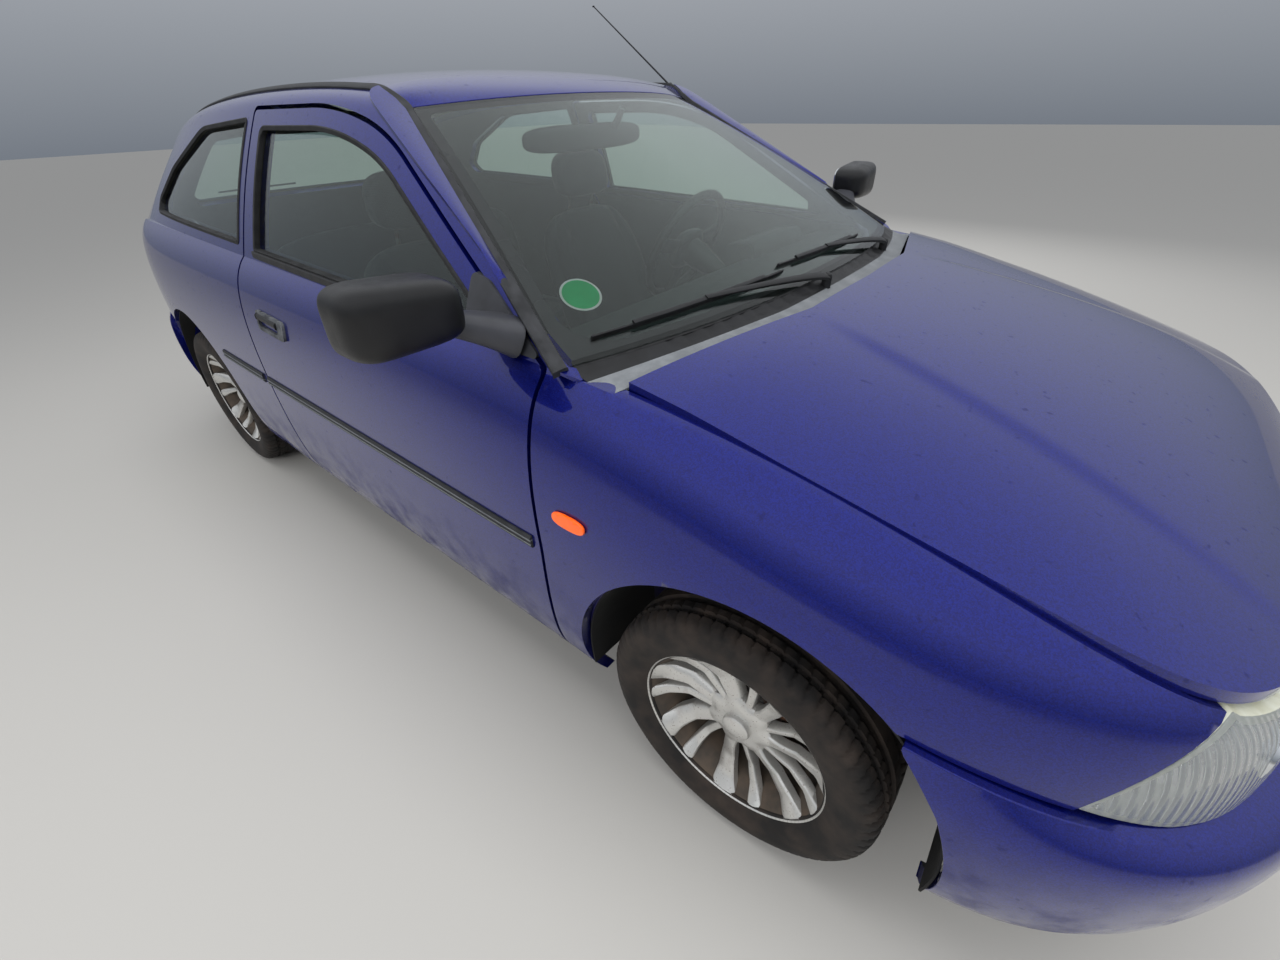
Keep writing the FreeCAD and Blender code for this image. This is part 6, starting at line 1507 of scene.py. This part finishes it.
class Fittings(bpy.types.Operator):
    """Mirrors, handles, wipers, aerial and the round sticker"""
    bl_idname = "hatchback.fittings"
    bl_label = "Outside Fittings"

    def execute(self, context):
        for name, side in SIDES:
            door = "door_" + name
            house, ribbon = HOUSES[side], RIBBONS[side]
            shell = mirror_shell(side)
            piece("mirror_shell_" + name, shell, door, "shell", "mirror_" + name)
            path = [(590, side * 742, 940), (584, side * 762, 950),
                    (568, side * 800, 968), (556, side * 850, 986)]
            thinner = np.linspace(1.5, 0.9, 12) ** 1.2
            shell = carried(smooth_line(path, 12), ring(36, 22, 24, 3), (0, 0, 1), scale=thinner)
            piece("mirror_foot_" + name, shell, door, "sail")
            flat = pillow((511, side * 925, 1018), (5, 82, 44), 4.4)
            piece("mirror_glass_" + name, flat, door, "mirror")
            sail = house.side_line(drawn([(470, 926, 6), (470, 1030, 10), (520, 1018, 40), (684, 914, 6)], 8))
            shell = plate(house.lift, [sail], 10, -5, 4)
            piece("mirror_sail_" + name, shell, door, "sail", bevel=2.0)
            self.handle(name, ribbon)
        self.wipers()
        self.aerial()
        self.sticker()
        return {"FINISHED"}

    def handle(self, name, ribbon):
        """A recessed grip: a surround with a pull bar over a hollow."""
        outer = drawn([(-436, 824, 12), (-264, 816, 12), (-270, 764, 12), (-430, 770, 12)], 8)
        middle = drawn([(-424, 806, 8), (-300, 800, 8), (-304, 776, 8), (-420, 782, 8)], 8)
        rim = plate(ribbon.lift, [ribbon.side_line(outer), ribbon.side_line(middle)], 9, -7, 0)
        back = plate(ribbon.lift, [ribbon.side_line(middle)], 10, 0.5, 2)
        piece("handle_surround_" + name, merged(rim, back), "door_" + name, "worn",
              "handle_" + name, 2.0)
        line = ribbon.side_line(divided([(-424, 806), (-302, 800)], 10))
        shell = strip(ribbon.lift, line, [(-9, 1), (-9, 7), (-5, 11), (5, 11), (9, 7), (9, 1)])
        piece("handle_bar_" + name, shell, "door_" + name, "black", bevel=1.5)

    def wipers(self):
        """Each wiper: spindle cap, arm, bridge and a thin blade that follows the glass."""
        shells = []
        poles = screen_poles(-1.0)
        for pivot_y, tip_y in ((-80.0, -675.0), (365.0, -170.0)):
            y = np.linspace(pivot_y + (tip_y - pivot_y) * 0.16, tip_y, 40)
            v = np.interp(y / 740, SCREEN_SPAN, FINE)
            up = np.linspace(0.062, 0.052 if tip_y < -400 else 0.085, 40)
            blade = surface(poles, up, v)
            shells.append(carried(blade + (0.45 * 4, 0, 0.9 * 4), bar_profile(5, 6, 4), (0.45, 0, 0.89)))
            shells.append(carried((blade + (6, 0, 12))[6:34:3], ring(5, 2.5, 10, 3), (0.45, 0, 0.89)))
            root = np.interp([pivot_y / 756], SCREEN_SPAN, FINE)
            foot = surface(poles, np.array([0.0]), root)[0] + (22, 0, 2)
            middle = blade[20] + (6, 0, 14)
            arm = smooth_line([foot, foot + (4, 0, 14), (foot * 0.6 + middle * 0.4) + (4, 0, 14), middle], 20)
            shells.append(carried(arm, ring(9, 5, 12, 3), (0.45, 0, 0.89), scale=np.linspace(1.3, 0.6, 20)))
            shells.append(turned([(-30, 10), (4, 11), (10, 9), (13, 4), (13.5, 0.5)], foot, 24, axis=2))
        piece("wiper_set", merged(*shells), "body", "black", "wipers")
        low = tail_lift(np.array([[0, 925], [-60, 985], [-400, 985]]), -3)
        path = [low[0] + (-14, 0, 0), low[0] * 0.6 + low[2] * 0.4 + (-16, 0, 0),
                low[2] * 0.5 + low[1] * 0.5 + (-10, 0, 0)]
        arm = carried(path, ring(7, 4, 12, 3), (-1, 0, 0))
        places = joined(np.linspace(-60, -400, 30), np.full(30, 985.0))
        blade = strip(tail_lift, places, bar_profile(7, 10, -1))
        hub = turned([(-22, 0.5), (-22, 12), (-14, 18), (6, 19)], low[0], 28, axis=0)
        piece("rear_wiper_set", merged(arm, blade, hub), "tailgate", "black", "rear_wiper")

    def aerial(self):
        """A thin rod on a moulded foot, leaning back."""
        base, lean = np.array((-9, 548, 1318)), np.array((-0.82, 0, 0.573))
        path = [base, base + lean * 200, base + lean * 416]
        rod = carried(path, ring(3, 3, 10), (0, 1, 0), scale=(1.0, 0.8, 0.6))
        tip = turned([(-4, 0.4), (-4, 2.4), (3, 2.4), (4, 0.4)], base + lean * 414, 12, axis=0)
        foot = turned([(-12, 13), (-2, 12), (4, 8), (8, 5), (9, 0.5)], base, 28, axis=2)
        piece("rod_aerial", merged(rod, foot, tip), "body", "black", "aerial")

    def sticker(self):
        """A blank round sticker inside the glass: a green disc in a white rim."""
        centre_u, centre_v = 0.185, float(np.interp(-609 / 700, SCREEN_SPAN, FINE))
        angle = np.linspace(0, 2 * math.pi, 48, endpoint=False)
        for name, outer, colour, sink in (("rim", 41, "sticker_rim", 0.7), ("disc", 36.5, "sticker", 0.4)):
            r, a = np.meshgrid(np.linspace(1, outer, 8), angle, indexing="ij")
            u, v = centre_u + r * np.sin(a) / 800, centre_v + r * np.cos(a) / 1480
            grid = surface(screen_poles(-0.5 + sink), u.ravel(), v.ravel())
            points = np.concatenate((grid, grid - (0.05, 0, 0.1)))
            top = net_faces(8, 48, False, True)
            faces = top + [[i + 384 for i in f[::-1]] for f in top]
            faces += [[336 + k, 336 + (k + 1) % 48, 720 + (k + 1) % 48, 720 + k] for k in range(48)]
            faces += [list(range(48)), [i + 384 for i in range(48)][::-1]]
            piece("round_sticker_" + name, (points, outward(points, faces), []), "body", colour)


# Cabin


def channels(along, across, edge, last):
    """Stitched seams as depths: one along each side, and others across the pad every 110 mm."""
    lines = 4 * np.exp(-(((along % 110) - 55) / 8) ** 2) * (np.abs(across) < last)
    return -7 * np.exp(-((np.abs(across) - edge) / 9) ** 2) - lines


def leaned(x, y, z, degrees):
    """Points turned about the crosswise axis."""
    a = math.radians(degrees)
    return joined(x * math.cos(a) + z * math.sin(a), y, -x * math.sin(a) + z * math.cos(a))


def seat_shells(middle, wide, hip):
    """A front seat: cushion and back with raised bolsters and stitched channels, and a headrest."""
    def cushion(grid):
        """Raised sides, stitched seams and a lower rear."""
        x, y, z = grid[..., 0], grid[..., 1], grid[..., 2]
        side_lift = 22 * np.clip((np.abs(y) / wide - 0.66) / 0.34, 0, 1) ** 1.5
        seam = channels(x, y, wide * 0.62, wide * 0.6)
        z = z + np.where(z > 0, side_lift + seam - 16 * (x / 260) ** 2 * (x < 0), 0)
        return joined(x, y, z)

    def back(grid):
        """Raised sides, stitched seams and a narrower top, leaned back."""
        x, y, z = grid[..., 0], grid[..., 1], grid[..., 2]
        taper = 1 - 0.16 * np.clip(z / 280, 0, 1) ** 2
        low = 1 - 0.7 * np.clip(z / 280, 0, 1)
        side_lift = 24 * np.clip((np.abs(y) / wide - 0.62) / 0.38, 0, 1) ** 1.5 * low
        seam = channels(z, y, wide * 0.58, wide * 0.56)
        x = x + np.where(x > 0, side_lift + seam, 0)
        return leaned(x, y * taper, z, -22)

    seat = pillow((hip + 175, middle, 247 + 178), (262, wide, 62), 4.5, 34, 72, cushion)
    rest = pillow((hip - 62, middle, 247 + 420), (62, wide - 14, 285), 4.5, 44, 64, back)
    head = pillow((hip - 146, middle, 247 + 808), (48, 128, 76), 3.6, 20, 36, lambda g: joined(
        g[..., 0] + g[..., 2] * -0.12, g[..., 1] * (1 - 0.1 * (g[..., 2] > 0) * g[..., 2] / 76), g[..., 2]))
    return seat, rest, head


class Cabin(bpy.types.Operator):
    """Seats, steering wheel and the inside mirror"""
    bl_idname = "hatchback.cabin"
    bl_label = "Cabin"

    def execute(self, context):
        first = True
        for name, side in SIDES:
            middle = side * 365
            seat, rest, head = seat_shells(middle, 246, -150)
            for label, shell in (("cushion", seat), ("back", rest), ("headrest", head)):
                pad = piece("front_%s_%s" % (label, name), shell, "body", "cloth")
                if first:
                    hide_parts("front_seats")
                    first = False
            for offset in (-60, 60):
                y, place = middle + offset, "outer" if offset * side > 0 else "inner"
                post = carried([(-308, y, 930), (-296, y, 1010)], ring(6, 6, 14), (1, 0, 0))
                piece("headrest_post_%s_%s" % (place, name), post, "body", "steel")
        for label, centre, halves, lean in (("cushion", (-700, 0, 440), (226, 572, 46), 0),
                                            ("back", (-985, 0, 655), (44, 572, 238), -13)):
            def shape(grid, lean=lean, halves=halves):
                """Seams between the three places, and the back's lean."""
                x, y, z = grid[..., 0], grid[..., 1], grid[..., 2]
                seam = -6 * np.exp(-((np.abs(y) - 190) / 9) ** 2) - 6 * np.exp(-((np.abs(y) - 470) / 9) ** 2)
                if halves[0] > halves[2]:
                    z = z + np.where(z > 0, seam, 0)
                else:
                    x = x + np.where(x > 0, seam, 0)
                return leaned(x, y, z, lean)
            shell = pillow(centre, halves, 5.0, 30, 110, shape)
            pad = piece("rear_bench_" + label, shell, "body", "cloth")
            if label == "cushion":
                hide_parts("rear_seat")
        self.wheel()
        self.mirror()
        return {"FINISHED"}

    def wheel(self):
        """A ring on three spokes round a padded middle, turned about the column's axis."""
        a = np.linspace(0, 2 * math.pi, 96, endpoint=False)
        path = joined(185 * np.cos(a), np.zeros(96), 185 * np.sin(a))
        shells = [carried(path, ring(14.5, 14.5, 16), (0, 1, 0), True)]
        shells.append(pillow((0, -4, -6), (74, 24, 70), 3.0, 20, 40))
        for turn, wide in ((0.22, 24), (math.pi - 0.22, 24), (-math.pi / 2, 30)):
            inner = np.array((40 * math.cos(turn), -4, 40 * math.sin(turn)))
            outer = np.array((178 * math.cos(turn), 0, 178 * math.sin(turn)))
            path = [inner, (inner + outer) / 2 + (0, -4, 0), outer]
            shells.append(carried(path, ring(wide, 8, 16, 3), (0, 1, 0)))
        column = [(-430, 0.5), (-430, 24), (-200, 24), (-60, 46), (-26, 46), (-20, 30)]
        shells.append(turned(column, (0, 0, 0), 32))
        points, faces, tags = merged(*shells)
        lean = math.radians(25)
        toward = np.array((-math.cos(lean), 0, math.sin(lean)))
        upward = np.array((math.sin(lean), 0, math.cos(lean)))
        leftward = np.cross(toward, upward)
        points = points[:, :1] * leftward + points[:, 1:2] * toward + points[:, 2:] * upward + (200, 365, 850)
        shell = points, outward(points, faces), tags
        piece("steering_wheel_rim", shell, "steering_wheel", "black", "steering_wheel")

    def mirror(self):
        """The wide inside mirror on its stalk."""
        stalk = carried([(236, 0, 1262), (222, 0, 1238), (206, 0, 1222)], ring(9, 9, 14), (0, 1, 0))
        case = pillow((190, -95, 1202), (14, 220, 30), 3.6, 20, 60)
        piece("inside_mirror", merged(stalk, case), "body", "black")


CARRIED = {
    "floor_pan": "underseal", "engine_bay": "paint_inside", "engine": "engine", "front_suspension": "cast",
    "rear_axle": "cast", "exhaust": "steel", "knuckle_left": "cast", "knuckle_right": "cast",
    "dashboard": "trim",
}


class KeptNodes(bpy.types.Operator):
    """Finishes for the frame's own pieces that stay in view"""
    bl_idname = "hatchback.kept_nodes"
    bl_label = "Kept Pieces"

    def execute(self, context):
        for node, look in CARRIED.items():
            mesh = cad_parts[node].data
            mesh.materials.clear()
            mesh.materials.append(finish(look))
        return {"FINISHED"}


# Stage


class StageSettings(bpy.types.PropertyGroup):
    """Light and floor of the studio."""
    floor_colour: bpy.props.FloatVectorProperty(
        name="Floor", description="Colour of the studio floor", subtype="COLOR", size=4,
        default=linear("#a19f9b"))
    sky_strength: bpy.props.FloatProperty(
        name="Sky", description="Strength of the even light from all round", default=0.85, min=0.0)
    lamp_power: bpy.props.FloatProperty(
        name="Lamps", description="Power of the large overhead lamps", default=150.0, min=0.0, unit="POWER")


class Stage(bpy.types.Operator):
    """Plain pale floor, soft studio light and the camera"""
    bl_idname = "hatchback.stage"
    bl_label = "Stage"

    def execute(self, context):
        settings = context.scene.hatchback_stage
        scene = context.scene
        scene.view_settings.view_transform = "Standard"
        material, tree, shader, place = started("studio_floor_paint", "#d9d8d5", 0.8)
        shader.inputs["Base Color"].default_value = settings.floor_colour
        bpy.ops.mesh.primitive_plane_add(size=60, location=(0, 0, 0))
        floor = context.object
        floor.name = "studio_floor"
        floor.data.materials.append(material)
        world = bpy.data.worlds.new("studio_sky")
        scene.world = world
        world.use_nodes = True
        tree = world.node_tree
        sky = tree.nodes["Background"]
        place = add(tree, "ShaderNodeTexCoord").outputs["Generated"]
        height = add(tree, "ShaderNodeSeparateXYZ", {"Vector": place}).outputs["Z"]
        colour = mixed(tree, ramp(tree, height, -0.05, 0.55, 0.0, 1.0), "#7b828c", "#f2f5fa")
        tree.links.new(colour, sky.inputs["Color"])
        sky.inputs["Strength"].default_value = settings.sky_strength
        for name, place, size, turn, power in (
            ("over", (0.6, -0.6, 4.2), (5.0, 3.0), (0, 0, 0), 1.0),
            ("near_side", (1.2, -5.2, 2.8), (4.0, 2.0), (math.radians(62), 0, 0), 1.1),
            ("front", (5.6, 0.4, 2.6), (3.0, 2.0), (0, math.radians(62), 0), 0.7),
            ("far_side", (-0.6, 5.2, 2.8), (4.0, 2.0), (math.radians(-62), 0, 0), 0.6),
        ):
            data = bpy.data.lights.new("studio_" + name, "AREA")
            data.shape, data.size, data.size_y = "RECTANGLE", size[0], size[1]
            data.energy = settings.lamp_power * power
            lamp = bpy.data.objects.new("studio_" + name, data)
            lamp.location, lamp.rotation_euler = place, turn
            lamp.visible_glossy = lamp.visible_transmission = lamp.visible_camera = False
            scene.collection.objects.link(lamp)
        self.camera(scene)
        return {"FINISHED"}

    def camera(self, scene):
        """The photograph's viewpoint: a wide lens close to the front right corner."""
        turn = np.array(CAMERA_TURN)
        angle = np.linalg.norm(turn)
        k = turn / angle
        cross = np.array(((0, -k[2], k[1]), (k[2], 0, -k[0]), (-k[1], k[0], 0)))
        rows = np.eye(3) + math.sin(angle) * cross + (1 - math.cos(angle)) * cross @ cross
        data = bpy.data.cameras.new("photo_view")
        data.lens, data.sensor_width, data.clip_end = CAMERA_LENS, 36.0, 200.0
        camera = bpy.data.objects.new("photo_view", data)
        matrix = np.eye(4)
        matrix[:3, :3] = np.stack((rows[0], -rows[1], -rows[2]), axis=1)
        matrix[:3, 3] = CAMERA_PLACE
        camera.matrix_world = Matrix(matrix.tolist())
        scene.collection.objects.link(camera)
        scene.camera = camera


class HatchbackPanel(bpy.types.Panel):
    """Buttons for each group of pieces."""
    bl_label = "Hatchback"
    bl_idname = "VIEW3D_PT_hatchback"
    bl_space_type = "VIEW_3D"
    bl_region_type = "UI"
    bl_category = "Hatchback"

    def draw(self, context):
        for operator in OPERATORS:
            self.layout.operator(operator.bl_idname)
        settings = context.scene.hatchback_stage
        for name in ("floor_colour", "sky_strength", "lamp_power"):
            self.layout.prop(settings, name)


OPERATORS = (Stage, BodySides, Glass, RoofAndLids, NoseAndBumpers, Lamps, Wheels, Fittings, Cabin, KeptNodes)
CLASSES = (StageSettings,) + OPERATORS + (HatchbackPanel,)


def register():
    for cls in CLASSES:
        bpy.utils.register_class(cls)
    bpy.types.Scene.hatchback_stage = bpy.props.PointerProperty(type=StageSettings)


def unregister():
    del bpy.types.Scene.hatchback_stage
    for cls in reversed(CLASSES):
        bpy.utils.unregister_class(cls)


def main():
    """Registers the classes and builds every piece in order."""
    register()
    for operator in OPERATORS:
        group, name = operator.bl_idname.split(".")
        getattr(getattr(bpy.ops, group), name)()


if __name__ == "__main__":
    main()
